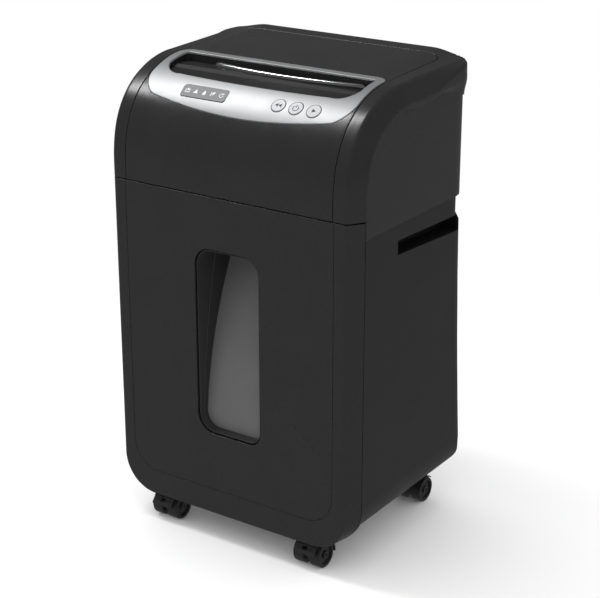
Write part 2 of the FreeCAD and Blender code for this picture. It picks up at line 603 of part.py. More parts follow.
# Hand-grip slots cut through the sides, nearly up to the rear corners.
slot_profile = [(97, 416.5), (97, 398.5), (248, 389.5), (248, 411.0)]
grip_slot = plate_x(slot_profile, (PANEL_SPLIT + 1, 220))
cabinet = cabinet.cut(grip_slot).cut(mirror_x(grip_slot))

SOCKET_R, SOCKET_FLANGE_R, SOCKET_TOP = 6.0, 9.0, 49.0
sockets = []
for _, x, y, _ in CASTERS:
    sleeve = rod_z(SOCKET_R, x, y, (FLOOR_Z - 0.5, SOCKET_TOP))
    flange = rod_z(SOCKET_FLANGE_R, x, y, (FLOOR_Z + WALL, FLOOR_Z + WALL + 2))
    sockets.append(sleeve.fuse(flange).cut(rod_z(STEM_R + RUNNING_FIT, x, y, (30, 60))))

floor_field = box((-PANEL_SPLIT, PANEL_SPLIT), (0, 300), (0, 60))
rear_field = box((-PANEL_SPLIT, PANEL_SPLIT), (200, 300), (60, 500))
side_field_right = box((PANEL_SPLIT, 250), (0, 300), (0, 500))
cabinet_floor = cabinet.common(floor_field)
for socket_piece, (_, x, y, _) in zip(sockets, CASTERS):
    cabinet_floor = cabinet_floor.cut(rod_z(SOCKET_R, x, y, (30, 60)))
    cabinet_floor = cabinet_floor.cut(rod_z(SOCKET_FLANGE_R, x, y, (FLOOR_Z + WALL, 60)))
save("cabinet_floor", cabinet_floor)
save("caster_sockets", *sockets)
save("cabinet_rear", cabinet.common(rear_field))
right_side = cabinet.common(side_field_right)
save("side_panel_right", right_side)
save("side_panel_left", mirror_x(right_side))

cabinet_room = cabinet_form(WALL).fuse(neck_room)
cup = plate_x([(92, 419), (92, 395.5), (253, 386.5), (253, 413.5)], (PANEL_SPLIT + 2, 200))
cup = cup.common(cabinet_room)
cup = cup.cut(plate_x([(94, 417), (94, 398), (251, 389), (251, 411.5)], (PANEL_SPLIT + 4, 200)))
save("grip_cups", *both_sides(cup))

rail = box((70, 90), (FRAME_Y + 4, 236), (FLOOR_Z + WALL, TUB_BOTTOM_Z - 0.5))
save("bin_rails", *both_sides(rail))

# ---------------------------------------------------------------- bin


BIN_TOP_Z = SEAM_Z - 0.6
slant = OUTER_HALF - FACE_HALF
bin_outer = Part.makeLoft([outline_wire(FACE_HALF, BOTTOM_Z, CORNER_R - slant, BIN_TOP_Z, 0),
                           outline_wire(OUTER_HALF, BOTTOM_Z, CORNER_R, BIN_TOP_Z, STRIP_DEPTH)], True, True)
bin_inner = Part.makeLoft([outline_wire(FACE_HALF - 1.5, BOTTOM_Z + WALL, CORNER_R - slant - 1.5,
                                        BIN_TOP_Z - WALL, WALL),
                           outline_wire(OUTER_HALF - 3.5, BOTTOM_Z + WALL, CORNER_R - 3.5,
                                        BIN_TOP_Z - WALL, STRIP_DEPTH)], True, True)
window = rounded_block((-WINDOW_HALF, WINDOW_HALF), (-5, 10), WINDOW_Z, WINDOW_CORNER_R, V(0, 1, 0))
bin_front = bin_outer.cut(bin_inner).cut(window)
save("bin_front", bin_front)

tub_y = (WALL, TUB_REAR)
tub = front_outline(TUB_HALF, TUB_BOTTOM_Z, 45.0, TUB_TOP_Z, tub_y)
tub = tub.cut(front_outline(TUB_HALF - 2, TUB_BOTTOM_Z + 2, 43.0, TUB_TOP_Z + 5,
                            (tub_y[0] + 2, tub_y[1] - 2)))
tub = tub.cut(box((-54, 54), (-5, 20), (130, 400)))
rim_ring = front_outline(TUB_HALF + 4, TUB_TOP_Z - 4, 1.0, TUB_TOP_Z, (20.0, TUB_REAR + 4))
rim_ring = rim_ring.cut(box((-TUB_HALF + 2, TUB_HALF - 2), (0, TUB_REAR - 2), (300, 400)))
save("bin_tub", tub)
save("bin_rim", rim_ring.cut(tub))


def pane_region(x, rear):
    """The space between the bin front's inner face and the pane's curve moved back by rear."""
    curve = [(x[0], y + rear, z) for y, z in PANE_CURVE]
    bottom_z, top_z = WINDOW_Z
    wire = Part.Wire([
        line((x[0], WALL, bottom_z), (x[0], curve[0][1], bottom_z)),
        line((x[0], curve[0][1], bottom_z), curve[0]),
        arc(*curve),
        line(curve[2], (x[0], curve[2][1], top_z)),
        line((x[0], curve[2][1], top_z), (x[0], WALL, top_z)),
        line((x[0], WALL, top_z), (x[0], WALL, bottom_z))])
    return Part.Face(wire).extrude(V(x[1] - x[0], 0, 0))


recess = pane_region((-WINDOW_HALF, WINDOW_HALF), 0.0)
recess = recess.common(rounded_block((-WINDOW_HALF, WINDOW_HALF), (-5, 120), WINDOW_Z,
                                     WINDOW_CORNER_R, V(0, 1, 0)))
pane_layer = pane_region((-WINDOW_HALF, WINDOW_HALF), PANE_T).common(
    rounded_block((-WINDOW_HALF, WINDOW_HALF), (-5, 120), WINDOW_Z, WINDOW_CORNER_R, V(0, 1, 0))).cut(recess)
save("window_pane", pane_layer)
surround = pane_region((-WINDOW_HALF - 2.5, WINDOW_HALF + 2.5), PANE_T)
surround_x = (-WINDOW_HALF - 2.5, WINDOW_HALF + 2.5)
surround = surround.fuse(box(surround_x, (WALL, 16), (WINDOW_Z[0] - 2.5, WINDOW_Z[0])))
surround = surround.fuse(box(surround_x, (WALL, 87.5), (WINDOW_Z[1], WINDOW_Z[1] + 2.5)))
surround = surround.cut(rounded_block((-WINDOW_HALF, WINDOW_HALF), (-5, 120), WINDOW_Z,
                                      WINDOW_CORNER_R, V(0, 1, 0)))
save("window_surround", surround.removeSplitter())

# ---------------------------------------------------------------- casters


def caster(name, x, y, trail):
    """A hooded twin-wheel caster; the wheels trail behind the stem along trail * y."""
    axle_y = y + trail * TRAIL
    z = WHEEL_R
    hood_outer = rod_x(19.0, (x - 20.5, x + 20.5), axle_y, z)
    hood_inner = rod_x(17.8, (x - 21, x + 21), axle_y, z)
    lower = box((x - 30, x + 30), (axle_y - 30, axle_y + 30), (-10, z - 2))
    reach = math.radians(52)
    far = 60.0
    open_side = plate_x([(axle_y, z), (axle_y + trail * far * math.cos(reach), z + far * math.sin(reach)),
                         (axle_y + trail * far, z - far), (axle_y, z - far)], (x - 30, x + 30))
    hood = hood_outer.cut(hood_inner).cut(lower).cut(open_side)
    web = rod_x(12.0, (x - 3.4, x + 3.4), axle_y, z)
    arm = box((x - 3.4, x + 3.4), sorted((y - trail * 7, axle_y)), (z + 1, z + 18))
    web = web.fuse(arm).common(rod_x(19.0, (x - 4, x + 4), axle_y, z))
    seat = rod_z(7.0, x, y, (z + 12, 36.0))
    seat = seat.cut(rod_x(17.8, (x + 3.4, x + 21), axle_y, z))
    seat = seat.cut(rod_x(17.8, (x - 21, x - 3.4), axle_y, z))
    pieces = [hood, web, seat]
    if name.startswith("front"):
        pieces += brake_ear(x, axle_y, trail)
    axle = rod_x(AXLE_R, (x - 18.5, x + 18.5), axle_y, z)
    housing = fuse(pieces).cut(rod_x(AXLE_R, (x - 4, x + 4), axle_y, z))
    stem = rod_z(STEM_R, x, y, (30.0, SOCKET_TOP - 0.6))
    housing = housing.cut(stem)
    save("caster_housing_" + name, housing, axle, stem)
    for side, s in (("left", -1), ("right", 1)):
        span = sorted((x + s * WHEEL_X[0], x + s * WHEEL_X[1]))
        wheel = rod_x(WHEEL_R, span, axle_y, z)
        rims = [e for e in wheel.Edges if e.Closed]
        wheel = wheel.makeFillet(1.8, rims)
        dish = sorted((x + s * (WHEEL_X[1] - 2.5), x + s * (WHEEL_X[1] + 1)))
        wheel = wheel.cut(rod_x(13.0, dish, axle_y, z).cut(rod_x(5.0, dish, axle_y, z)))
        wheel = wheel.cut(rod_x(AXLE_R + RUNNING_FIT, (span[0] - 1, span[1] + 1), axle_y, z))
        save("caster_wheel_" + name + "_" + side, wheel)


PIVOT_RADIUS = 20.6         # brake pivot's distance from the wheel axle
PIVOT_ANGLE = 44.0          # and its angle above the horizontal
LEVER_HALF = 15.0


def pivot_place(axle_y, trail):
    a = math.radians(PIVOT_ANGLE)
    return axle_y + trail * PIVOT_RADIUS * math.cos(a), WHEEL_R + PIVOT_RADIUS * math.sin(a)


def brake_ear(x, axle_y, trail):
    py, pz = pivot_place(axle_y, trail)
    ear = rod_x(2.6, (x - 3.4, x + 3.4), py, pz)
    neck_piece = plate_x([(axle_y, WHEEL_R + 8), (axle_y, WHEEL_R + 15), (py, pz + 2.2), (py, pz - 2.4)],
                         (x - 3.4, x + 3.4))
    pin = rod_x(1.2, (x - LEVER_HALF + 1, x + LEVER_HALF - 1), py, pz)
    return [ear, neck_piece, pin]


def brake_lever(name, x, y, trail):
    """Foot pedal on the front casters: pressed down, its shoe bears on the two treads."""
    axle_y = y + trail * TRAIL
    py, pz = pivot_place(axle_y, trail)
    hub = rod_x(2.6, (x - LEVER_HALF, x + LEVER_HALF), py, pz)
    blade = plate_x([(py, pz + 2.6), (py + trail * 7.5, pz - 6.5), (py + trail * 7.5, pz - 9.5),
                     (py + trail * 5.0, pz - 9.5), (py - trail * 1.0, pz - 2.4)],
                    (x - LEVER_HALF, x + LEVER_HALF))
    slot = box((x - 3.8, x + 3.8), (axle_y - 40, axle_y + 40), (pz - 4.5, pz + 10))
    lever = hub.fuse(blade).cut(slot).cut(rod_x(1.2 + RUNNING_FIT, (x - 20, x + 20), py, pz))
    save("brake_lever_" + name, lever)


for caster_name, stem_x, stem_y, trail_dir in CASTERS:
    caster(caster_name, stem_x, stem_y, trail_dir)
    if caster_name.startswith("front"):
        brake_lever(caster_name, stem_x, stem_y, trail_dir)
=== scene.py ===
import math

import bmesh
import bpy
import numpy as np
from mathutils import Matrix, Vector
from mathutils.geometry import delaunay_2d_cdt


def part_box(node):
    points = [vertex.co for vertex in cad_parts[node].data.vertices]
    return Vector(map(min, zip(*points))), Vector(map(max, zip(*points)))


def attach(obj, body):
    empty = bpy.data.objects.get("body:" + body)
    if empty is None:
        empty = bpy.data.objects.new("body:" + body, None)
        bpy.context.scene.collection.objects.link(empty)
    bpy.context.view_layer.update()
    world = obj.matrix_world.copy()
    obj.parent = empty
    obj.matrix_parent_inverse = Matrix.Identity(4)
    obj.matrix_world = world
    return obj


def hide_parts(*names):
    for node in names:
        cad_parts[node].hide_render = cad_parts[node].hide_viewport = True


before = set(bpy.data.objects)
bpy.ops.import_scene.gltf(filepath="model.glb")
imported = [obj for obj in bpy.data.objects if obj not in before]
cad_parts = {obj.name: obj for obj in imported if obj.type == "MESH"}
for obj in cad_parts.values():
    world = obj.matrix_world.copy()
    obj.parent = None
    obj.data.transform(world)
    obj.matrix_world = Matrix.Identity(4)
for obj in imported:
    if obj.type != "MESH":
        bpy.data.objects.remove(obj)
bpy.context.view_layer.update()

# ------------------------------------------------------------------ head shell
# The outer cover of the shredding head: a black ABS moulding with a slanted strip down each
# side of the front, a raised rim round the top and flat sides.  Four screws from the rear hold
# it to the tray below.

MM = 0.001
front_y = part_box("bin_front")[0].y


def at(x, y, z):
    """A place in millimetres, with y = 0 on the bin's front face, as a point of the row frame."""
    return Vector((x * MM, y * MM + front_y, z * MM))


def node(tree, kind, inputs=None, **settings):
    """Adds a shader node; its inputs are numbers, colours or the sockets that feed them."""
    made = tree.nodes.new(kind)
    for key, value in settings.items():
        setattr(made, key, value)
    for key, value in (inputs or {}).items():
        if isinstance(value, bpy.types.NodeSocket):
            tree.links.new(value, made.inputs[key])
        else:
            made.inputs[key].default_value = value
    return made


def group(name, inputs, outputs):
    """An empty shader node group with named float inputs and outputs."""
    tree = bpy.data.node_groups.new(name, "ShaderNodeTree")
    for label, value in inputs.items():
        socket = tree.interface.new_socket(label, in_out="INPUT", socket_type="NodeSocketFloat")
        socket.default_value = value
    for label in outputs:
        tree.interface.new_socket(label, in_out="OUTPUT", socket_type="NodeSocketFloat")
    return tree, node(tree, "NodeGroupInput"), node(tree, "NodeGroupOutput")


def use_group(tree, name, **inputs):
    made = tree.nodes.new("ShaderNodeGroup")
    made.node_tree = bpy.data.node_groups[name]
    for key, value in inputs.items():
        made.inputs[key.replace("_", " ")].default_value = value
    return made


# Spark-eroded mould texture: fine grain and a slow drift in gloss, in the piece's own place.
tree, given, out = group("mould_grain", {"Grain per metre": 1500.0, "Patches per metre": 14.0},
                         ("Grain", "Patches"))
place = node(tree, "ShaderNodeTexCoord").outputs["Object"]
grain = node(tree, "ShaderNodeTexNoise", {"Vector": place, "Scale": given.outputs["Grain per metre"],
                                          "Detail": 2.0, "Roughness": 0.55})
patches = node(tree, "ShaderNodeTexNoise", {"Vector": place, "Scale": given.outputs["Patches per metre"],
                                            "Detail": 3.0, "Roughness": 0.6})
tree.links.new(grain.outputs["Fac"], out.inputs["Grain"])
tree.links.new(patches.outputs["Fac"], out.inputs["Patches"])

# Handling wear: a mask that rises on convex edges, broken up along their length.
tree, given, out = group("edge_wear", {"Width": 0.0008, "Breaks per metre": 90.0}, ("Mask",))
soft = node(tree, "ShaderNodeBevel", {"Radius": given.outputs["Width"]}, samples=4)
flat = node(tree, "ShaderNodeNewGeometry").outputs["Normal"]
turn = node(tree, "ShaderNodeVectorMath", {0: soft.outputs["Normal"], 1: flat}, operation="DOT_PRODUCT")
edge = node(tree, "ShaderNodeMapRange", {"Value": turn.outputs["Value"], "From Min": 0.995,
                                         "From Max": 0.90, "To Min": 0.0, "To Max": 1.0})
place = node(tree, "ShaderNodeTexCoord").outputs["Object"]
breaks = node(tree, "ShaderNodeTexNoise", {"Vector": place, "Scale": given.outputs["Breaks per metre"],
                                           "Detail": 3.0})
uneven = node(tree, "ShaderNodeMapRange", {"Value": breaks.outputs["Fac"], "From Min": 0.35,
                                           "From Max": 0.7})
mask = node(tree, "ShaderNodeMath", {0: edge.outputs["Result"], 1: uneven.outputs["Result"]},
            operation="MULTIPLY")
tree.links.new(mask.outputs["Value"], out.inputs["Mask"])

# Office dust: lies thinly on what faces up, more in some places than in others.
tree, given, out = group("settled_dust", {"Patches per metre": 30.0}, ("Mask",))
normal = node(tree, "ShaderNodeNewGeometry").outputs["Normal"]
facing = node(tree, "ShaderNodeSeparateXYZ", {"Vector": normal})
upward = node(tree, "ShaderNodeMapRange", {"Value": facing.outputs["Z"], "From Min": 0.55, "From Max": 1.0})
place = node(tree, "ShaderNodeTexCoord").outputs["Object"]
drift = node(tree, "ShaderNodeTexNoise", {"Vector": place, "Scale": given.outputs["Patches per metre"],
                                          "Detail": 5.0, "Roughness": 0.65})
thin = node(tree, "ShaderNodeMapRange", {"Value": drift.outputs["Fac"], "From Min": 0.35, "From Max": 0.75})
mask = node(tree, "ShaderNodeMath", {0: upward.outputs["Result"], 1: thin.outputs["Result"]},
            operation="MULTIPLY")
tree.links.new(mask.outputs["Value"], out.inputs["Mask"])


def moulded_plastic(name, colour, rough, grain_mm=0.65, relief=0.12, spread=0.10, wear=0.03, dust=0.004,
                    **fixed):
    """A moulded plastic: textured, slightly uneven in gloss, rubbed on its edges and a little dusty."""
    material = bpy.data.materials.new(name)
    material.use_nodes = True
    tree = material.node_tree
    shader = tree.nodes["Principled BSDF"]
    for key, value in fixed.items():
        shader.inputs[key.replace("_", " ")].default_value = value
    texture = use_group(tree, "mould_grain", Grain_per_metre=1.0 / (grain_mm * MM))
    worn = use_group(tree, "edge_wear")
    dusty = use_group(tree, "settled_dust")
    dark = [c * 0.86 for c in colour] + [1.0]
    light = [c * 1.16 for c in colour] + [1.0]
    body = node(tree, "ShaderNodeMix", {"Factor": texture.outputs["Patches"], "A": dark, "B": light},
                data_type="RGBA")
    wear_share = node(tree, "ShaderNodeMath", {0: worn.outputs["Mask"], 1: wear}, operation="MULTIPLY")
    rubbed = node(tree, "ShaderNodeMix", {"Factor": wear_share.outputs["Value"], "A": body.outputs["Result"],
                                          "B": (0.55, 0.55, 0.55, 1.0)}, data_type="RGBA")
    dust_share = node(tree, "ShaderNodeMath", {0: dusty.outputs["Mask"], 1: dust}, operation="MULTIPLY")
    surface = node(tree, "ShaderNodeMix", {"Factor": dust_share.outputs["Value"],
                                           "A": rubbed.outputs["Result"],
                                           "B": (0.42, 0.40, 0.37, 1.0)}, data_type="RGBA")
    tree.links.new(surface.outputs["Result"], shader.inputs["Base Color"])
    gloss = node(tree, "ShaderNodeMapRange", {"Value": texture.outputs["Patches"], "From Min": 0.25,
                                              "From Max": 0.75, "To Min": rough - spread / 2,
                                              "To Max": rough + spread / 2})
    tree.links.new(gloss.outputs["Result"], shader.inputs["Roughness"])
    bump = node(tree, "ShaderNodeBump", {"Height": texture.outputs["Grain"], "Strength": relief,
                                         "Distance": 0.12 * grain_mm * MM})
    tree.links.new(bump.outputs["Normal"], shader.inputs["Normal"])
    return material


def dress(material, *names):
    """Gives CAD nodes that stay in view their finish."""
    for name in names:
        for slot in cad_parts[name].material_slots:
            slot.material = material


satin_black = moulded_plastic("satin_black_plastic", (0.0165, 0.0165, 0.0168), 0.27)
silver_paint = moulded_plastic("silver_paint", (0.37, 0.375, 0.38), 0.46, Metallic=0.7)

# Blender-side forms.  Each piece is a closed sheet: a face filled with small triangles, edges
# rounded ring by ring, and an inner face one wall thickness below.


class Form:
    """Points in millimetres and faces of one piece, gathered sheet by sheet."""

    def __init__(self):
        self.points = []
        self.faces = []

    def add(self, points):
        first = len(self.points)
        self.points.extend(points)
        return list(range(first, len(self.points)))

    def band(self, ring_a, ring_b):
        count = len(ring_a)
        for k in range(count):
            after = (k + 1) % count
            self.faces.append((ring_a[k], ring_a[after], ring_b[after], ring_b[k]))

    def sheet(self, loops, columns, top, under, step, lines=()):
        """Closes a face inside the first (u, v) loop and outside the others.  Each loop point has
        a column of places from the upper face down to the lower one; top and under give the
        places of inner points, and lines are extra (u, v) points where the face bends."""
        inner, triangles = fill(loops, step, lines)
        upper, lower = [], []
        for loop_columns in columns:
            rings = [self.add(ring) for ring in zip(*loop_columns)]
            for ring_a, ring_b in zip(rings, rings[1:]):
                self.band(ring_a, ring_b)
            upper += rings[0]
            lower += rings[-1]
        upper += self.add([top(u, v) for u, v in inner])
        lower += self.add([under(u, v) for u, v in inner])
        for a, b, c in triangles:
            self.faces.append((upper[a], upper[b], upper[c]))
            self.faces.append((lower[c], lower[b], lower[a]))

    def piece(self, name, material, body, slot, replaced=(), sharp=38.0):
        """Makes the object, shaded smooth except where faces meet at a sharp angle."""
        mesh = bpy.data.meshes.new(name)
        mesh.from_pydata([at(*p) for p in self.points], [], self.faces)
        build = bmesh.new()
        build.from_mesh(mesh)
        bmesh.ops.dissolve_degenerate(build, dist=1e-7, edges=build.edges)
        bmesh.ops.recalc_face_normals(build, faces=build.faces)
        for face in build.faces:
            face.smooth = True
        for line in build.edges:
            line.smooth = len(line.link_faces) == 2 and line.calc_face_angle(0.0) < math.radians(sharp)
        build.to_mesh(mesh)
        build.free()
        mesh.materials.append(material)
        made = bpy.data.objects.new(name, mesh)
        bpy.context.scene.collection.objects.link(made)
        weighted = made.modifiers.new("face_weighted_normals", "WEIGHTED_NORMAL")
        weighted.keep_sharp = True
        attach(made, body)
        if replaced:
            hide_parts(*replaced)
        return made


def inside(points, loops):
    """Which points lie inside an odd number of the loops."""
    hit = np.zeros(len(points), bool)
    for loop in loops:
        a = np.array(loop)
        b = np.roll(a, -1, 0)
        crosses = (a[:, 1] > points[:, 1:2]) != (b[:, 1] > points[:, 1:2])
        rise = np.where(b[:, 1] == a[:, 1], 1.0, b[:, 1] - a[:, 1])
        where = a[:, 0] + (points[:, 1:2] - a[:, 1]) / rise * (b[:, 0] - a[:, 0])
        hit ^= (crosses & (points[:, 0:1] < where)).sum(1) % 2 == 1
    return hit


def clear_of(points, others, distance):
    """The points that keep that distance from all the others."""
    if not len(points) or not len(others):
        return points
    keep = np.ones(len(points), bool)
    for part in range(0, len(others), 400):
        gap = points[:, None, :] - others[None, part:part + 400, :]
        keep &= (gap ** 2).sum(2).min(1) > distance ** 2
    return points[keep]


def fill(loops, step, lines=()):
    """Inner points and triangles of the area between loops; triangles number the loops' points first."""
    edge_points = np.concatenate([np.array(loop, float) for loop in loops])
    low, high = edge_points.min(0), edge_points.max(0)
    across, along = np.meshgrid(np.arange(low[0] + step / 2, high[0], step),
                                np.arange(low[1] + step / 2, high[1], step))
    grid = np.stack([across.ravel(), along.ravel()], 1)
    bends = np.array(lines, float).reshape(-1, 2)
    bends = clear_of(bends[inside(bends, loops)], edge_points, 0.35)
    grid = clear_of(clear_of(grid[inside(grid, loops)], edge_points, 0.6 * step), bends, 0.6 * step)
    inner = np.concatenate([bends, grid])
    points = [Vector(p) for p in np.concatenate([edge_points, inner])]
    edges, first = [], 0
    for loop in loops:
        edges += [(first + k, first + (k + 1) % len(loop)) for k in range(len(loop))]
        first += len(loop)
    placed, _, triangles, source, _, _ = delaunay_2d_cdt(points, edges, [], 1, 1e-7)
    centres = np.array([sum((placed[i] for i in t), Vector((0, 0))) / 3 for t in triangles])
    kept = inside(centres, loops)
    return inner, [tuple(source[i][0] for i in t) for t, ok in zip(triangles, kept) if ok]


def inset(loop, distance):
    """Moves a counter-clockwise loop inwards (a clockwise one outwards), point by point."""
    p = np.array(loop, float)
    ahead = np.roll(p, -1, 0) - p
    ahead /= np.linalg.norm(ahead, axis=1, keepdims=True)
    left = np.stack([-ahead[:, 1], ahead[:, 0]], 1)
    before = np.roll(left, 1, 0)
    mitre = (left + before) / (1 + (left * before).sum(1, keepdims=True))
    return p + np.asarray(distance).reshape(-1, 1) * mitre


def closely(loop, step):
    """The closed loop with points added, so that none are further apart than step."""
    out = []
    for k, p in enumerate(loop):
        q = loop[(k + 1) % len(loop)]
        count = max(1, math.ceil(math.dist(p, q) / step - 1e-6))
        out += [(p[0] + (q[0] - p[0]) * j / count, p[1] + (q[1] - p[1]) * j / count) for j in range(count)]
    return out


def rounded(corners, step):
    """Closed counter-clockwise outline through (u, v, radius) corners."""
    out = []
    for k, (u, v, radius) in enumerate(corners):
        p = Vector((u, v))
        a = (Vector(corners[k - 1][:2]) - p).normalized()
        b = (Vector(corners[(k + 1) % len(corners)][:2]) - p).normalized()
        turn = math.pi - a.angle(b)
        if radius == 0:
            out.append((u, v))
            continue
        centre = p + (a + b).normalized() * (radius / math.cos(turn / 2))
        start = p + a * (radius * math.tan(turn / 2)) - centre
        way = 1 if a.x * b.y - a.y * b.x < 0 else -1
        count = max(4, math.ceil(radius * turn / step))
        for j in range(count + 1):
            angle = way * turn * j / count
            out.append((centre.x + start.x * math.cos(angle) - start.y * math.sin(angle),
                        centre.y + start.x * math.sin(angle) + start.y * math.cos(angle)))
    return closely(out, step)


def arc_through(a, middle, b, step):
    """Points from a up to b, without b itself, on the circle through the three."""
    mx, my, bx, by = middle[0] - a[0], middle[1] - a[1], b[0] - a[0], b[1] - a[1]
    twice = 2 * (mx * by - my * bx)
    cx = a[0] + (by * (mx ** 2 + my ** 2) - my * (bx ** 2 + by ** 2)) / twice
    cy = a[1] + (mx * (bx ** 2 + by ** 2) - bx * (mx ** 2 + my ** 2)) / twice
    radius = math.dist(a, (cx, cy))
    start = math.atan2(a[1] - cy, a[0] - cx)
    sweep = (math.atan2(b[1] - cy, b[0] - cx) - start) % (2 * math.pi)
    if twice < 0:
        sweep -= 2 * math.pi
    count = max(3, math.ceil(abs(sweep) * radius / step))
    return [(cx + radius * math.cos(start + sweep * k / count),
             cy + radius * math.sin(start + sweep * k / count)) for k in range(count)]


def rim_columns(loop, place, radius, depth, count=7):
    """The rounded edge of a sheet along a loop, then straight down to its lower face."""
    offsets = [(radius * (1 - math.cos(a)), -radius * (1 - math.sin(a)))
               for a in (math.pi / 2, math.pi / 3, math.pi / 6, 0.0)]
    drops = np.linspace(radius, depth, count - 3)[1:]
    rings = [[place(u, v, h) for u, v in inset(loop, d)] for d, h in offsets]
    rings += [[place(u, v, -d) for u, v in loop] for d in drops]
    return [list(column) for column in zip(*rings)]


def sheet_with_rims(form, loops, place, radii, depth, step, lines=()):
    """A closed sheet whose edges are all rounded; the first loop runs counter-clockwise."""
    if isinstance(radii, float):
        radii = [radii] * len(loops)
    columns = [rim_columns(loop, place, r, depth) for loop, r in zip(loops, radii)]
    uppers = [inset(loop, r) for loop, r in zip(loops, radii)]
    form.sheet(uppers, columns, lambda u, v: place(u, v, 0.0), lambda u, v: place(u, v, -depth), step, lines)


def trace(start, heading, moves):
    """A line of straight (length, 0) and round (radius, turn in degrees) moves, as a table of
    length run, x, y and heading in radians."""
    rows = [(0.0, start[0], start[1], math.radians(heading))]
    for size, turn in moves:
        angle = math.radians(turn)
        count = 1 if turn == 0 else max(6, math.ceil(abs(turn)))
        length = size if turn == 0 else size * abs(angle)
        for _ in range(count):
            run, x, y, direction = rows[-1]
            middle = direction + angle / count / 2
            chord = length / count if turn == 0 else 2 * size * math.sin(abs(angle) / count / 2)
            rows.append((run + length / count, x + chord * math.cos(middle), y + chord * math.sin(middle),
                         direction + angle / count))
    return np.array(rows).T


# The front and top in side view, from the joint with the bin upwards: straight, then four arcs.
SEAM_Z = 460.0
HEAD_ARCS = ((170.0, 13.0), (100.0, 47.0), (130.0, 26.0))
side_line = trace((0.0, SEAM_Z), 90.0, [(20.0, 0)] + [(r, -turn) for r, turn in HEAD_ARCS] + [(240.0, 0)])
# The same skin in plan: flat, slanted strip, side; its two bends are rounded.
FACE_HALF, OUTER_HALF, STRIP_DEPTH, BORDER_REAR = 170.0, 183.3, 20.0, 26.0
STRIP_TURN = math.degrees(math.atan2(STRIP_DEPTH, OUTER_HALF - FACE_HALF))
FACE_BEND, SIDE_BEND = 7.0, 9.0
face_cut = FACE_BEND * math.tan(math.radians(STRIP_TURN / 2))
side_cut = SIDE_BEND * math.tan(math.radians(45 - STRIP_TURN / 2))
strip_run = math.hypot(STRIP_DEPTH, OUTER_HALF - FACE_HALF) - face_cut - side_cut
across_line = trace((0.0, 0.0), 0.0, [(FACE_HALF - face_cut, 0), (FACE_BEND, STRIP_TURN), (strip_run, 0),
                                      (SIDE_BEND, 90.0 - STRIP_TURN), (40.0, 0)])
SIDE_U = FACE_HALF - face_cut + math.radians(STRIP_TURN) * FACE_BEND + strip_run \
    + math.radians(90.0 - STRIP_TURN) * SIDE_BEND
RIM_DEPTH, RIM_CORNER, SHOULDER_Z, SHOULDER_DRAFT = 268.0, 27.0, 583.0, 0.07
CROWN_HALF, TOP_EDGE_R = 125.0, 3.0


def run_at(y):
    """Length along the side line at depth y."""
    return float(np.interp(y, side_line[1], side_line[0]))


def ease(value, low, high):
    """0 below low, 1 above high, smooth in between."""
    t = min(max((value - low) / (high - low), 0.0), 1.0)
    return t * t * (3 - 2 * t)


def side_drop(x, y):
    """The top falls a little from the crown to its side edges, more to the rear."""
    return 0.042 * max(y - 108.0, 0.0) * ease(abs(x), CROWN_HALF, FACE_HALF)


def head_skin(u, s, h):
    """The head's outer surface: u across it, s up the front and over the top, h outwards."""
    x, i, bend = (np.interp(abs(u), across_line[0], across_line[k]) for k in (1, 2, 3))
    y0, z0, slope = (np.interp(s, side_line[0], side_line[k]) for k in (1, 2, 3))
    # The slanted strip fades out towards the rear corners.
    i *= 1 - 0.85 * ease(y0, 165.0, 248.0)
    x = math.copysign(x + h * math.sin(bend), u)
    i -= h * math.cos(bend)
    y, z = y0 + i * math.sin(slope), z0 - i * math.cos(slope)
    z -= side_drop(x, y)
    if y > 150:
        a, b = OUTER_HALF - abs(x), RIM_DEPTH - y
        in_corner = a < RIM_CORNER and b < RIM_CORNER
        in_from_edge = RIM_CORNER - math.hypot(RIM_CORNER - a, RIM_CORNER - b) if in_corner else min(a, b)
        short = min(max(TOP_EDGE_R - in_from_edge, 0.0), TOP_EDGE_R)
        z -= (TOP_EDGE_R - math.sqrt(TOP_EDGE_R ** 2 - short ** 2)) * ease(y, 180.0, 240.0)
        lean = SHOULDER_DRAFT * max(z - SHOULDER_Z, 0.0)
        x -= math.copysign(lean * ease(abs(x), 150.0, 178.0) * ease(y, 180.0, 240.0), x)
        y -= lean * ease(y, 240.0, 262.0)
    return (float(x), float(y), float(z))


# Lower edge of the raised rim in side view.
field_line = np.array([(BORDER_REAR, 420.0), (BORDER_REAR, 508.0)]
                      + arc_through((BORDER_REAR, 508.0), (49.0, 552.0), (100.0, 571.0), 2.0)
                      + arc_through((100.0, 571.0), (200.0, 575.5), (300.0, 565.0), 4.0) + [(300.0, 565.0)])


def rim_width(s):
    """Distance from the side line, square to it, down to the rim's lower edge."""
    y0, z0, slope = (np.interp(s, side_line[0], side_line[k]) for k in (1, 2, 3))
    along = (field_line[:, 0] - y0) * math.cos(slope) + (field_line[:, 1] - z0) * math.sin(slope)
    down = (field_line[:, 0] - y0) * math.sin(slope) - (field_line[:, 1] - z0) * math.cos(slope)
    ok = down > 0
    order = np.argsort(along[ok])
    return float(np.interp(0.0, along[ok][order], down[ok][order]))


# Outline of the shell's upper skin, counter-clockwise: (u, s, plan direction, or None at a groove).
FASCIA_HALF, FASCIA_REAR, GROOVE, FASCIA_CORNER = 151.0, 242.0, 0.5, 18.0
SHELL_WALL, LOW = 3.0, 0.4
fascia_end = run_at(FASCIA_REAR)
rim_run = run_at(RIM_DEPTH - RIM_CORNER)
edge_u, edge_s = FASCIA_HALF + GROOVE, fascia_end + GROOVE
rear_x = OUTER_HALF - RIM_CORNER
front_u = np.arange(edge_u, SIDE_U - 2, 4.0)
side_s = np.linspace(LOW, rim_run, 82)


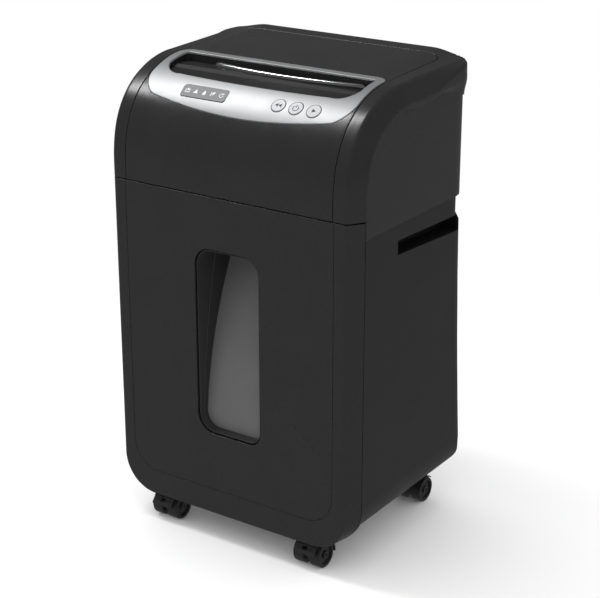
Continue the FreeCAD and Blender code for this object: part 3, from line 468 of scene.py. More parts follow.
def rear_corner(inwards, steps):
    """(u, s, plan direction) round the right rear corner, that far in from the rim's edge."""
    out = []
    for angle in np.linspace(0, math.pi / 2, steps):
        x = rear_x + (RIM_CORNER - inwards) * math.cos(angle)
        y = RIM_DEPTH - RIM_CORNER + (RIM_CORNER - inwards) * math.sin(angle)
        u = float(np.interp(min(x, OUTER_HALF - 0.01), across_line[1][:-1], across_line[0][:-1]))
        i = float(np.interp(u, across_line[0], across_line[2]))
        out.append((u, run_at(y - 0.021 * i), (math.cos(angle), math.sin(angle))))
    return out


corner = rear_corner(0.0, 12)[1:]
outline = [(u, LOW, None) for u in front_u]
outline += [(SIDE_U, s, (1.0, 0.0)) for s in side_s]
outline += corner
outline += [(x, run_at(RIM_DEPTH), (0.0, 1.0)) for x in np.linspace(rear_x, -rear_x, 52)[1:-1]]
outline += [(-u, s, (-d[0], d[1])) for u, s, d in reversed(corner)]
outline += [(-SIDE_U, s, (-1.0, 0.0)) for s in reversed(side_s)]
outline += [(-u, LOW, None) for u in reversed(front_u)]
opening = rounded([(-edge_u, LOW, 0), (edge_u, LOW, 0), (edge_u, edge_s, FASCIA_CORNER + GROOVE),
                   (-edge_u, edge_s, FASCIA_CORNER + GROOVE)], 4.0)
outline += [(u, s, None) for u, s in reversed(opening) if s > LOW + 0.1]

RIM = 0.8
base = np.array([(u, s) for u, s, _ in outline])
at_groove = np.array([plan is None for _, _, plan in outline], float)
round_steps = [(RIM * (1 - math.cos(a)), -RIM * (1 - math.sin(a)))
               for a in (math.pi / 2, math.pi / 3, math.pi / 6, 0.0)]
round_rings = [inset(base, d * at_groove) for d, _ in round_steps]
columns = []
for k, (u, s, plan) in enumerate(outline):
    if plan is None:
        column = [head_skin(*ring[k], h) for ring, (_, h) in zip(round_rings, round_steps)]
        column += [head_skin(u, s, -depth) for depth in np.linspace(RIM, SHELL_WALL, 8)[1:]]
    else:
        top = np.array(head_skin(u, s, 0.0))
        y0, z0, slope = (np.interp(s, side_line[0], side_line[n]) for n in (1, 2, 3))
        down = np.array((0.0, math.sin(slope), -math.cos(slope)))
        out = np.array((plan[0], plan[1], 0.0))
        width = rim_width(s) - (top[1] - y0) * math.sin(slope) + (top[2] - z0) * math.cos(slope)
        full = out * max(OUTER_HALF - abs(top[0]), 0.0) if plan[1] == 0 else out * 0.0
        # The rim's lower edge is crisp at the front and runs out softly towards the rear.
        half = 0.6 + 2.5 * ease(y0, 60.0, 140.0) + 8.0 * ease(y0, 185.0, 250.0)
        column = [top, top + down * max(width - half - 4.0, 2.0) * 0.5 + full * 0.6]
        column.append(top + down * max(width - half, 4.0) + full)
        for share in (0.15, 0.3, 0.5, 0.7, 0.85, 1.0):
            inwards = 3.7 * ease(share, 0.0, 1.0)
            column.append(top + down * (max(width - half, 4.0) + 2 * half * share) + full - out * inwards)
        column.append(top + down * (width + half) - out * 5.0)
        column.append(np.array(head_skin(u, s, -SHELL_WALL)) - out * SHELL_WALL)
    columns.append([tuple(float(c) for c in p) for p in column])

bend_u = list(np.linspace(FACE_HALF - face_cut, FACE_HALF - face_cut + 7.0, 6))
bend_u += list(np.linspace(SIDE_U - 5.3, SIDE_U - 0.8, 5)) + [FACE_HALF + 7.5, FACE_HALF + 12.0]
bends = [(sign * u, s) for u in bend_u for s in np.arange(2.5, rim_run + 30, 4.5) for sign in (-1, 1)]
for inwards in (0.5, 1.2, 2.2, 3.4, 5.0, 9.0, 14.0):
    bends += [(x, run_at(RIM_DEPTH - inwards)) for x in np.arange(-rear_x, rear_x, 5.0)]
    bends += [(sign * u, s) for u, s, _ in rear_corner(inwards, 8)[1:] for sign in (-1, 1)]
shell = Form()
shell.sheet([inset(base, RIM * at_groove)], [columns], lambda u, v: head_skin(u, v, 0.0),
            lambda u, v: head_skin(u, v, -SHELL_WALL), 4.5, bends)

# Flat side and rear walls below the rim.
SIDE_HALF, HEAD_REAR, WALL_CORNER, HEAD_BOTTOM_Z = 180.0, 265.0, 30.0, 436.0
WALL_FRONT = 24.0
plan_line = trace((SIDE_HALF, WALL_FRONT), 90.0,
                  [(HEAD_REAR - WALL_CORNER - WALL_FRONT, 0), (WALL_CORNER, 90.0),
                   (2 * (SIDE_HALF - WALL_CORNER), 0), (WALL_CORNER, 90.0),
                   (HEAD_REAR - WALL_CORNER - WALL_FRONT, 0)])
rear_middle = plan_line[0][-1] / 2


def wall_skin(w, z, h):
    x, y, heading = (float(np.interp(w, plan_line[0], plan_line[k])) for k in (1, 2, 3))
    return (x + h * math.sin(heading), y - h * math.cos(heading), z)


def rim_lower_z(w):
    y = float(np.interp(w, plan_line[0], plan_line[2]))
    return float(np.interp(y, field_line[1:, 0], field_line[1:, 1])) + 3.0


wall_w = np.linspace(0.0, plan_line[0][-1], 150)
wall_loop = [(w, HEAD_BOTTOM_Z) for w in wall_w] + [(w, rim_lower_z(w)) for w in reversed(wall_w)]
grille_hole = rounded([(rear_middle - 75, 478, 1.5), (rear_middle + 75, 478, 1.5),
                       (rear_middle + 75, 540, 1.5), (rear_middle - 75, 540, 1.5)], 6.0)[::-1]
sheet_with_rims(shell, [closely(wall_loop, 6.0), grille_hole], wall_skin, 0.35, 2.6, 7.0)

# The rim's two ends run down the front edges of the sides to the cabinet.
for sign in (-1, 1):
    strip = rounded([(SIDE_HALF - 3, STRIP_DEPTH + 0.6, 0.5), (OUTER_HALF, STRIP_DEPTH + 0.6, 0.8),
                     (OUTER_HALF, BORDER_REAR, 0.8), (SIDE_HALF - 3, BORDER_REAR, 0.5)], 2.0)
    sheet_with_rims(shell, [strip], lambda u, v, h, sign=sign: (sign * u, v, SEAM_Z + 0.2 + h),
                    0.3, SEAM_Z - HEAD_BOTTOM_Z - 0.4, 3.0)
shell.piece("head_cover", satin_black, "root", "satin_black", ["head_shell"])

# ------------------------------------------------------------------ middle cover
# The wide middle panel of the head, from the joint with the bin over the front and the top to
# behind the feed opening.  A separate glossier moulding, clipped in with a fine gap all round.


def bowed_outline(front, cheek, side, rear, radius, step):
    """Plan outline with a bowed front, round cheeks and two round rear corners, as (x, run) points.
    front is (half width, its y, y in the middle); cheek and side are places on the right side."""
    half, front_end, bow = front
    right = arc_through((-half, front_end), (0.0, bow), (half, front_end), step)
    right += arc_through((half, front_end), cheek, side, step)
    corner = [(side[0] - radius + radius * math.cos(a), rear - radius + radius * math.sin(a))
              for a in np.linspace(0, math.pi / 2, 9)]
    left = [(-x, y) for x, y in reversed(corner)]
    cheek_left = arc_through((-side[0], side[1]), (-cheek[0], cheek[1]), (-half, front_end), step)
    plan = right + [side] + corner + left + cheek_left
    return closely([(x, run_at(y)) for x, y in plan], step)


def cover_skin(u, s, h):
    """The head's surface over its middle width."""
    y0, z0, slope = (np.interp(s, side_line[0], side_line[k]) for k in (1, 2, 3))
    return (float(u), float(y0 - h * math.sin(slope)), float(z0 + h * math.cos(slope) - side_drop(u, y0)))


bezel_edge = bowed_outline((127.5, 29.0, 20.5), (143.3, 39.0), (149.2, 60.0), 123.0, 15.0, 3.5)
fascia = Form()
cover_u, cover_s = FASCIA_HALF - 0.2, fascia_end - 0.2
cover_loop = rounded([(-cover_u, LOW, 0.8), (cover_u, LOW, 0.8), (cover_u, cover_s, FASCIA_CORNER),
                      (-cover_u, cover_s, FASCIA_CORNER)], 4.0)
bezel_opening = [tuple(p) for p in inset(bezel_edge, -0.25)][::-1]
sheet_with_rims(fascia, [cover_loop, bezel_opening], cover_skin, [0.7, 0.3], 3.0, 4.5)
fascia.piece("head_middle_cover", satin_black, "root", "satin_black", ["head_fascia"])

# ------------------------------------------------------------------ control bezel
# The silver surround of the feed opening and the control panel: a painted moulding that stands
# a little proud, with holes for the trough, the display and the three buttons.

PANEL_Y, BUTTON_R = 38.0, 9.0
BUTTON_X = (51.4, 75.7, 100.3)
DISPLAY_X, DISPLAY_HALF_H = (-89.0, -23.0), 9.0
panel_run = run_at(PANEL_Y)
trough_edge = bowed_outline((109.0, 58.5, 56.0), (130.0, 64.5), (138.0, 77.0), 112.0, 5.0, 3.0)[::-1]
holes = [trough_edge]
for x in BUTTON_X:
    holes.append([(x + (BUTTON_R + 0.4) * math.cos(a), panel_run + (BUTTON_R + 0.4) * math.sin(a))
                  for a in np.linspace(0, -2 * math.pi, 49)[:-1]])
holes.append(rounded([(DISPLAY_X[0] - 0.2, panel_run - DISPLAY_HALF_H - 0.2, 4.0),
                      (DISPLAY_X[1] + 0.2, panel_run - DISPLAY_HALF_H - 0.2, 4.0),
                      (DISPLAY_X[1] + 0.2, panel_run + DISPLAY_HALF_H + 0.2, 4.0),
                      (DISPLAY_X[0] - 0.2, panel_run + DISPLAY_HALF_H + 0.2, 4.0)], 2.0)[::-1])
bezel = Form()
sheet_with_rims(bezel, [bezel_edge] + holes, lambda u, s, h: cover_skin(u, s, h + 0.6),
                [1.0, 0.9, 0.5, 0.5, 0.5, 0.4], 2.6, 3.5)
bezel.piece("silver_bezel", silver_paint, "root", "silver_panel", ["control_bezel"])

# ------------------------------------------------------------------ bin front
# The drawer's front: a tall black moulding whose slanted sides run round the lower corners, with
# a large panel set off by a fine groove and the window opening in its middle.  It is screwed to
# the bin from inside.

BIN_TOP, BIN_BOTTOM, CORNER_IN = 459.0, 37.0, 46.7
CORNER_OUT = CORNER_IN + OUTER_HALF - FACE_HALF
GROOVE_X, GROOVE_Z, GROOVE_CORNER, GROOVE_HALF, GROOVE_EDGE_R = 153.0, 71.5, 38.0, 0.25, 0.4


def front_place(u, v, h):
    return (float(u), float(-h), float(v))


# (face edge, strip edge, direction into the face, softness of the bend) down the left side.
left_side = [((-FACE_HALF, BIN_TOP - t * (BIN_TOP - BIN_BOTTOM - CORNER_IN)),
              (-OUTER_HALF, BIN_TOP - t * (BIN_TOP - BIN_BOTTOM - CORNER_OUT)), (1.0, 0.0), 4.0)
             for t in np.linspace(0, 1, 80)]
for angle in np.linspace(0, math.pi / 2, 22)[1:]:
    c, d = math.cos(angle), math.sin(angle)
    left_side.append(((CORNER_IN - FACE_HALF - CORNER_IN * c, BIN_BOTTOM + CORNER_IN * (1 - d)),
                      (CORNER_OUT - OUTER_HALF - CORNER_OUT * c, BIN_BOTTOM + CORNER_OUT * (1 - d)),
                      (c, d), 4.0 - 1.5 * angle / (math.pi / 2)))
flat_half = FACE_HALF - CORNER_IN
bottom_side = [((x, BIN_BOTTOM), (x, BIN_BOTTOM), (0.0, 1.0), 2.5)
               for x in np.linspace(-flat_half, flat_half, 62)[1:-1]]
right_side = [((-f[0], f[1]), (-o[0], o[1]), (-n[0], n[1]), soft) for f, o, n, soft in reversed(left_side)]
frame_outline, frame_columns = [], []
for f, o, into, soft in left_side + bottom_side + right_side:
    f3, o3 = np.array((f[0], 0.0, f[1])), np.array((o[0], STRIP_DEPTH - 0.5, o[1]))
    inwards = np.array((into[0], 0.0, into[1]))
    back_along = (o3 - f3) / np.linalg.norm(o3 - f3)
    start, end = f3 + inwards * soft, f3 + back_along * soft
    start[2] = min(start[2], BIN_TOP - 0.5)
    bend = [start * (1 - t) ** 2 + f3 * (2 * t * (1 - t)) + end * t ** 2
            for t in (0.0, 0.2, 0.4, 0.6, 0.8, 1.0)]
    column = bend + [o3 - back_along * 0.8, o3 + inwards * 0.35, o3 + inwards * 3.5,
                     start + np.array((0.0, 3.0, 0.0))]
    frame_outline.append((start[0], start[2]))
    frame_columns.append([tuple(float(c) for c in p) for p in column])
inner_edge = GROOVE_X + GROOVE_HALF
groove_loop = rounded([(-inner_edge, GROOVE_Z - GROOVE_HALF, GROOVE_CORNER + 0.4),
                       (inner_edge, GROOVE_Z - GROOVE_HALF, GROOVE_CORNER + 0.4),
                       (inner_edge, BIN_TOP, 0), (-inner_edge, BIN_TOP, 0)], 5.0)
groove_side = [p for p in groove_loop if p[1] < BIN_TOP - 0.01 or abs(abs(p[0]) - inner_edge) < 0.01]
turn_at = max(range(len(groove_side)), key=lambda k: (groove_side[k][0] > 0) * groove_side[k][1])
groove_side = (groove_side[turn_at + 1:] + groove_side[:turn_at + 1])[::-1]
for points in ([(x, BIN_TOP) for x in (165.0, 160.0)], groove_side,
               [(x, BIN_TOP) for x in (-160.0, -165.0)]):
    for u, v in points:
        column = []
        for angle in (math.pi / 2, math.pi / 3, math.pi / 6, 0.0):
            column.append((GROOVE_EDGE_R * (1 - math.cos(angle)), GROOVE_EDGE_R * (1 - math.sin(angle))))
        column += [(0.0, depth) for depth in np.linspace(0.8, 3.0, 6)]
        frame_columns.append([(u, v, across, deep) for across, deep in column])
        frame_outline.append((u, v))
# The groove's edges lean towards the face's middle line, square to the groove.
base = np.array(frame_outline)
first = len(left_side + bottom_side + right_side)
shift = inset(base, np.ones(len(base))) - base
for k in range(first, len(base)):
    frame_columns[k] = [(float(base[k][0] + shift[k][0] * across), float(deep),
                         float(base[k][1] + shift[k][1] * across)) for _, _, across, deep in frame_columns[k]]
    frame_outline[k] = (frame_columns[k][0][0], frame_columns[k][0][2])
bin_form = Form()
bin_form.sheet([frame_outline], [frame_columns], lambda u, v: (float(u), 0.0, float(v)),
               lambda u, v: (float(u), 3.0, float(v)), 5.0)

panel_x, panel_z = GROOVE_X - GROOVE_HALF, GROOVE_Z + GROOVE_HALF
panel_loop = rounded([(-panel_x, panel_z, GROOVE_CORNER - 0.4), (panel_x, panel_z, GROOVE_CORNER - 0.4),
                      (panel_x, BIN_TOP, 0.5), (-panel_x, BIN_TOP, 0.5)], 5.0)
WINDOW_HALF, WINDOW_LOW, WINDOW_HIGH, WINDOW_R = 48.0, 149.0, 393.5, 23.0
window_loop = rounded([(-WINDOW_HALF, WINDOW_LOW, WINDOW_R + 2), (WINDOW_HALF, WINDOW_LOW, WINDOW_R - 5),
                       (WINDOW_HALF, WINDOW_HIGH, WINDOW_R), (-WINDOW_HALF, WINDOW_HIGH, WINDOW_R)], 2.5)
sheet_with_rims(bin_form, [panel_loop, window_loop[::-1]], front_place, [0.4, 0.4], 3.0, 6.0)
behind = rounded([(-160.0, 64.0, 30.0), (160.0, 64.0, 30.0), (160.0, 459.0, 1.0), (-160.0, 459.0, 1.0)], 8.0)
behind_hole = rounded([(-146.0, 80.0, 20.0), (146.0, 80.0, 20.0), (146.0, 450.0, 1.0),
                       (-146.0, 450.0, 1.0)], 8.0)[::-1]
sheet_with_rims(bin_form, [behind, behind_hole], lambda u, v, h: front_place(u, v, h - 2.6), 0.2, 1.0, 8.0)
bin_form.piece("drawer_front", satin_black, "bin", "satin_black", ["bin_front"])

# ------------------------------------------------------------------ window
# A separate moulded insert snapped into the front's opening with a dark gap round it: its walls
# run back to a grey, slightly bowed pane that leans to the rear, so that fingers reach its top.

insert_black = moulded_plastic("insert_black", (0.027, 0.027, 0.0275), 0.45)
smoke = moulded_plastic("smoke_window", (0.105, 0.105, 0.107), 0.33, relief=0.03, wear=0.0, dust=0.01)
PANE_CURVE = np.array(arc_through((14.0, 147.0), (31.0, 262.0), (85.0, 393.5), 4.0) + [(85.0, 393.5)])


def pane_y(z):
    return float(np.interp(z, PANE_CURVE[:, 1], PANE_CURVE[:, 0]))


window = Form()
LIP_DEPTH = 2.3
lip = inset(window_loop, 2.5)
foot = inset(window_loop, 3.6)
# (step in from the opening's edge, depth) round the flange behind the front and up to the lip.
flange = ((-1.5, 9.0), (-1.5, 8.0), (1.3, 8.0), (1.6, 2.6), (1.9, 2.2), (2.5, LIP_DEPTH))
rings = [[(u, depth, v) for u, v in inset(window_loop, step_in)] for step_in, depth in flange]
# Halfway back the wall steps in by a hair, where the insert's two halves meet.
for share, step_in in ((0.25, 0.0), (0.5, 0.0), (0.505, 0.35), (0.52, 0.5), (0.75, 0.5), (1.0, 0.5)):
    narrowing = 0.3 * share + 1.4 * step_in
    rings.append([(a[0] + (b[0] - a[0]) * narrowing,
                   LIP_DEPTH + (pane_y(b[1]) + 0.3 - LIP_DEPTH) * share,
                   a[1] + (b[1] - a[1]) * narrowing) for a, b in zip(lip, foot)])
rings.append([(u, max(pane_y(v) + 2.0, 11.0), v) for u, v in inset(window_loop, 0.2)])
rings = [window.add([tuple(float(c) for c in p) for p in ring]) for ring in rings]
for ring_a, ring_b in zip(rings, rings[1:] + rings[:1]):
    window.band(ring_a, ring_b)
window.piece("window_insert", insert_black, "bin", "inner_black", ["window_surround"], sharp=25.0)
pane = Form()
sheet_with_rims(pane, [[tuple(p) for p in inset(window_loop, 1.4)]],
                lambda u, v, h: (float(u), pane_y(v) - h, float(v)), 0.3, 2.2, 5.0)
pane.piece("window_glass", smoke, "bin", "smoke_window", ["window_pane"])

# ------------------------------------------------------------------ wear bar
# The bright bar along the slot's front lip, over which the paper slides: a bowed chromed rod
# whose ends sink into the trough's floor.

chrome = moulded_plastic("chrome", (0.62, 0.62, 0.63), 0.16, relief=0.0, spread=0.05, dust=0.01, Metallic=1.0)
BAR_X, BAR_HALF, BAR_END_Y, BAR_BOW, BAR_Z, BAR_R = 20.0, 108.0, 103.0, 11.0, 592.0, 3.2
bar = Form()
bar_rings = []
for t in np.linspace(-1.0, 1.0, 61):
    near_end = max(abs(t) - 0.94, 0.0) / 0.06
    thick = BAR_R * (1 - 0.35 * near_end ** 2)
    y = BAR_END_Y - BAR_BOW * (1 - t * t)
    bar_rings.append(bar.add([(BAR_X + BAR_HALF * t, y + thick * math.cos(a),
                               BAR_Z - 2.0 * near_end ** 2 + thick * math.sin(a))
                              for a in np.linspace(0, 2 * math.pi, 25)[:-1]]))
for ring_a, ring_b in zip(bar_rings, bar_rings[1:]):
    bar.band(ring_a, ring_b)
bar.faces += [tuple(bar_rings[0]), tuple(reversed(bar_rings[-1]))]
bar.piece("wear_bar", chrome, "root", "bright_chrome", ["guide_bar"])

# ------------------------------------------------------------------ signs on the keys
# Thin prints in dark ink on the pale key caps: back, on/off and forward.

PANEL_TILT = math.radians(36.8)
panel_z0 = float(np.interp(panel_run, side_line[0], side_line[2]))
ink = moulded_plastic("dark_ink", (0.012, 0.012, 0.013), 0.5, relief=0.0, wear=0.0, dust=0.0)


def panel_place(x, v, h):
    """A place on the control panel: x across, v up the slope, h out of its plane."""
    return (x, PANEL_Y + v * math.cos(PANEL_TILT) - h * math.sin(PANEL_TILT),
            panel_z0 + v * math.sin(PANEL_TILT) + h * math.cos(PANEL_TILT))


def print_shapes(form, shapes, low, high):
    """Adds flat prints, each an outline of (x, v) points, between two heights over the panel."""
    for shape in shapes:
        under = form.add([panel_place(x, v, low) for x, v in shape])
        over = form.add([panel_place(x, v, high) for x, v in shape])
        form.faces += [tuple(over), tuple(reversed(under))]
        form.band(under, over)


def arc_band(x, v, radius, width, start, sweep, steps=28):
    """A bent stroke from one angle onwards, in degrees."""
    angles = [math.radians(start + sweep * k / steps) for k in range(steps + 1)]
    outer = [(x + (radius + width / 2) * math.cos(a), v + (radius + width / 2) * math.sin(a)) for a in angles]
    inner = [(x + (radius - width / 2) * math.cos(a), v + (radius - width / 2) * math.sin(a)) for a in angles]
    return outer + inner[::-1]


# A sign is a little under half as wide as its key.
signs = {"reverse_key": [[(-0.2, 2.0), (-3.6, 0.0), (-0.2, -2.0)], [(3.4, 2.0), (0.0, 0.0), (3.4, -2.0)]],
         "power_key": [arc_band(0.0, -0.3, 2.9, 0.75, 125.0, 290.0), [(-0.38, 0.4), (0.38, 0.4), (0.38, 3.9),
                                                                     (-0.38, 3.9)]],
         "forward_key": [[(-1.7, 2.2), (-1.7, -2.2), (2.3, 0.0)]]}
for (body, shapes), middle_x in zip(signs.items(), BUTTON_X):
    sign = Form()
    print_shapes(sign, [[(middle_x + 1.3 * x, 1.3 * v) for x, v in shape] for shape in shapes], 1.15, 1.3)
    sign.piece("sign_" + body, ink, body, "inner_black")

# ------------------------------------------------------------------ status display
# A pale translucent window over the indicator lamps, with five plain white signs: basket full,
# door open, jam, warm and standby.

lens_grey = moulded_plastic("display_lens", (0.100, 0.102, 0.105), 0.4, relief=0.0, wear=0.0)
dress(lens_grey, "display_window")
sign_white = moulded_plastic("sign_white", (0.62, 0.63, 0.64), 0.45, relief=0.0, wear=0.0, dust=0.0)
display = Form()
first_x, pitch = DISPLAY_X[0] + 8.0, 12.5
drop = [(0.0, 3.6)] + [(2.3 * math.sin(a), -1.2 - 2.3 * math.cos(a)) for a in np.linspace(2.2, -2.2, 16)]
tray = [(-3.2, 2.4), (-3.2, -3.0), (3.2, -3.0), (3.2, 2.4), (2.3, 2.4), (2.3, -2.1), (-2.3, -2.1),
        (-2.3, 2.4)]
display_signs = [[tray, [(-1.2, 0.0), (1.2, 0.0), (1.2, 3.4), (-1.2, 3.4)]],
                 [[(-3.2, -2.6), (3.2, -2.6), (0.0, 3.4)]],
                 [drop],
                 [[(-3.0, -3.0), (-1.9, -3.0), (-1.9, 3.0), (-3.0, 3.0)],
                  [(-0.4, 3.0), (-0.4, -3.0), (3.2, 3.0)]],
                 [arc_band(0.0, 0.0, 2.7, 0.8, 60.0, 300.0), [(0.2, 0.0), (3.6, 3.0), (1.2, 3.4)]]]
for k, shapes in enumerate(display_signs):
    print_shapes(display, [[(first_x + k * pitch + x, v) for x, v in shape] for shape in shapes], 0.76, 0.9)
display.piece("display_signs", sign_white, "root", "indicator_white")

# ------------------------------------------------------------------ key caps and lamps
# Three pale push keys, moulded and painted, slide in the bezel's holes; behind the display sit
# five milky lamp windows, and behind both the small control board with its tactile switches.


def soften(width, *names):
    """Rounds the sharp edges of CAD nodes that stay in view, by so many millimetres."""
    for name in names:
        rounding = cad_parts[name].modifiers.new("rounded_edges", "BEVEL")
        rounding.width = width * MM
        rounding.segments = 2
        rounding.limit_method = "ANGLE"
        rounding.angle_limit = math.radians(40)
        rounding.harden_normals = True


key_silver = moulded_plastic("key_silver", (0.36, 0.365, 0.375), 0.45, grain_mm=0.3, relief=0.03, wear=0.02,
                             Metallic=0.35)
dress(key_silver, "reverse_button", "power_button", "forward_button")
soften(0.45, "reverse_button", "power_button", "forward_button")
lamp_white = moulded_plastic("lamp_white", (0.78, 0.80, 0.83), 0.3, relief=0.02, wear=0.0,
                             Subsurface_Weight=0.3, Subsurface_Scale=0.002)
dress(lamp_white, "indicator_lights")

# ------------------------------------------------------------------ feed trough and base plate
# The matt black trough with the paper slot in its floor, and the moulded base plate under the
# head that carries the cutting block.  Both have a coarser, duller texture than the covers.

trough_black = moulded_plastic("trough_black", (0.0095, 0.0095, 0.010), 0.5, grain_mm=0.9, relief=0.2,
                               wear=0.02)
dress(trough_black, "feed_throat")
soften(0.3, "feed_throat")
base_black = moulded_plastic("base_black", (0.0085, 0.0085, 0.009), 0.58, grain_mm=1.1, relief=0.22)
dress(base_black, "head_base", "stripper_combs", "motor_saddle", "sensor_switches", "tactile_switches")
soften(0.4, "head_base")

# ------------------------------------------------------------------ rear grille and cord gland
# A louvred grille lets the motor's air out of the rear wall; beside it a soft rubber gland waits
# for a cord.

grille_black = moulded_plastic("grille_black", (0.009, 0.009, 0.0095), 0.5, grain_mm=0.6)
dress(grille_black, "rear_grille")
soften(0.3, "rear_grille")
soft_rubber = moulded_plastic("gland_rubber", (0.016, 0.016, 0.0165), 0.72, grain_mm=0.4, relief=0.08,
                              wear=0.0, dust=0.10, Sheen_Weight=0.15, Sheen_Roughness=0.5)
dress(soft_rubber, "cord_gland")
soften(0.5, "cord_gland")

# ------------------------------------------------------------------ cabinet
# Two side panels, a rear panel and a floor tray of moulded black plastic, clipped and screwed
# together; a grip cup of duller plastic is snapped into each side under the head.

cabinet_black = moulded_plastic("cabinet_black", (0.0130, 0.0130, 0.0133), 0.40, grain_mm=0.8, relief=0.14,
                                wear=0.04)
dress(cabinet_black, "side_panel_left", "side_panel_right", "cabinet_rear", "cabinet_floor")
soften(0.5, "cabinet_rear", "cabinet_floor")
cup_black = moulded_plastic("cup_black", (0.0080, 0.0080, 0.0084), 0.55, grain_mm=0.9, relief=0.2, wear=0.02)
dress(cup_black, "grip_cups")
soften(0.4, "grip_cups")

# ------------------------------------------------------------------ waste bin
# The pull-out bin is a thin black tub with a rolled rim, screwed behind its front; its
# floor runs on two plain rails of the cabinet.  Shreds leave a grey paper dust in it.

tub_black = moulded_plastic("tub_black", (0.014, 0.014, 0.0145), 0.5, grain_mm=1.2, relief=0.16, wear=0.05,
                            dust=0.16)
dress(tub_black, "bin_tub", "bin_rim")
soften(0.4, "bin_rim")
rail_black = moulded_plastic("rail_black", (0.020, 0.020, 0.021), 0.3, grain_mm=0.5, relief=0.06, wear=0.1)
dress(rail_black, "bin_rails")
soften(0.4, "bin_rails")

# ------------------------------------------------------------------ cutting block
# Hardened cutter shafts between two zinc-plated plates, tied by rods and running in bronze
# bushes.  Ground and plated faces keep fine parallel marks, and oil darkens the cutters.

tree, given, out = group("machining_marks", {"Lines X per metre": 200.0, "Lines Y per metre": 200.0,
                                             "Lines Z per metre": 4000.0}, ("Marks", "Stain"))
scale = node(tree, "ShaderNodeCombineXYZ", {"X": given.outputs["Lines X per metre"],
                                            "Y": given.outputs["Lines Y per metre"],
                                            "Z": given.outputs["Lines Z per metre"]})
place = node(tree, "ShaderNodeTexCoord").outputs["Object"]
stretched = node(tree, "ShaderNodeVectorMath", {0: place, 1: scale.outputs["Vector"]}, operation="MULTIPLY")
lines = node(tree, "ShaderNodeTexNoise", {"Vector": stretched.outputs["Vector"], "Scale": 1.0, "Detail": 3.0})
stain = node(tree, "ShaderNodeTexNoise", {"Vector": place, "Scale": 60.0, "Detail": 4.0, "Roughness": 0.6})
tree.links.new(lines.outputs["Fac"], out.inputs["Marks"])
tree.links.new(stain.outputs["Fac"], out.inputs["Stain"])


def machined_metal(name, colour, rough, stained, lines, relief=0.12):
    """A metal with parallel machining marks, uneven gloss and darker oily patches."""
    material = bpy.data.materials.new(name)
    material.use_nodes = True
    tree = material.node_tree
    shader = tree.nodes["Principled BSDF"]
    shader.inputs["Metallic"].default_value = 1.0
    marks = use_group(tree, "machining_marks", Lines_X_per_metre=lines[0], Lines_Y_per_metre=lines[1],
                      Lines_Z_per_metre=lines[2])
    worn = use_group(tree, "edge_wear")
    bright = [min(c * 1.25, 1.0) for c in colour] + [1.0]
    oily = [c * stained for c in colour] + [1.0]
    patchy = node(tree, "ShaderNodeMapRange", {"Value": marks.outputs["Stain"], "From Min": 0.4,
                                               "From Max": 0.7})
    base = node(tree, "ShaderNodeMix", {"Factor": patchy.outputs["Result"], "A": list(colour) + [1.0],
                                        "B": oily}, data_type="RGBA")
    edged = node(tree, "ShaderNodeMix", {"Factor": worn.outputs["Mask"], "A": base.outputs["Result"],
                                         "B": bright}, data_type="RGBA")
    tree.links.new(edged.outputs["Result"], shader.inputs["Base Color"])
    gloss = node(tree, "ShaderNodeMapRange", {"Value": marks.outputs["Marks"], "From Min": 0.3,
                                              "From Max": 0.7, "To Min": rough - 0.08,
                                              "To Max": rough + 0.1})
    tree.links.new(gloss.outputs["Result"], shader.inputs["Roughness"])
    bump = node(tree, "ShaderNodeBump", {"Height": marks.outputs["Marks"], "Strength": relief,
                                         "Distance": 0.05 * MM})
    tree.links.new(bump.outputs["Normal"], shader.inputs["Normal"])
    return material


cutter_steel = machined_metal("cutter_steel", (0.36, 0.36, 0.37), 0.32, 0.55, (5000.0, 300.0, 300.0))
dress(cutter_steel, "cutter_shaft_front", "cutter_shaft_rear")
zinc_plate = machined_metal("zinc_plate", (0.52, 0.52, 0.51), 0.38, 0.82, (300.0, 300.0, 3000.0))
dress(zinc_plate, "cutter_plate_left", "cutter_plate_right", "tie_rods", "idler_pin", "gear_guard")
sintered_bronze = machined_metal("sintered_bronze", (0.50, 0.34, 0.15), 0.5, 0.6,
                                 (2500.0, 2500.0, 2500.0), 0.25)
dress(sintered_bronze, "shaft_bushes")

# ------------------------------------------------------------------ gears and motor
# Sintered steel gears with dark grease, one of natural nylon, and the black lacquered motor.

gear_steel = machined_metal("gear_steel", (0.30, 0.30, 0.31), 0.42, 0.45, (2200.0, 2200.0, 2200.0), 0.2)
dress(gear_steel, "shaft_gear_front", "shaft_gear_rear", "drive_gear", "motor_pinion")
gear_nylon = moulded_plastic("gear_nylon", (0.70, 0.67, 0.58), 0.42, grain_mm=0.5, relief=0.05, spread=0.16,
                             wear=0.0, dust=0.05, Subsurface_Weight=0.2, Subsurface_Scale=0.002)
dress(gear_nylon, "idler_gear")
motor_lacquer = moulded_plastic("motor_lacquer", (0.032, 0.032, 0.034), 0.28, grain_mm=1.4, relief=0.1,
                                wear=0.25, dust=0.06, Coat_Weight=0.4, Coat_Roughness=0.2)
dress(motor_lacquer, "motor")

# ------------------------------------------------------------------ circuit boards
# Green solder resist over copper tracks, seen as slightly raised, lighter lines.

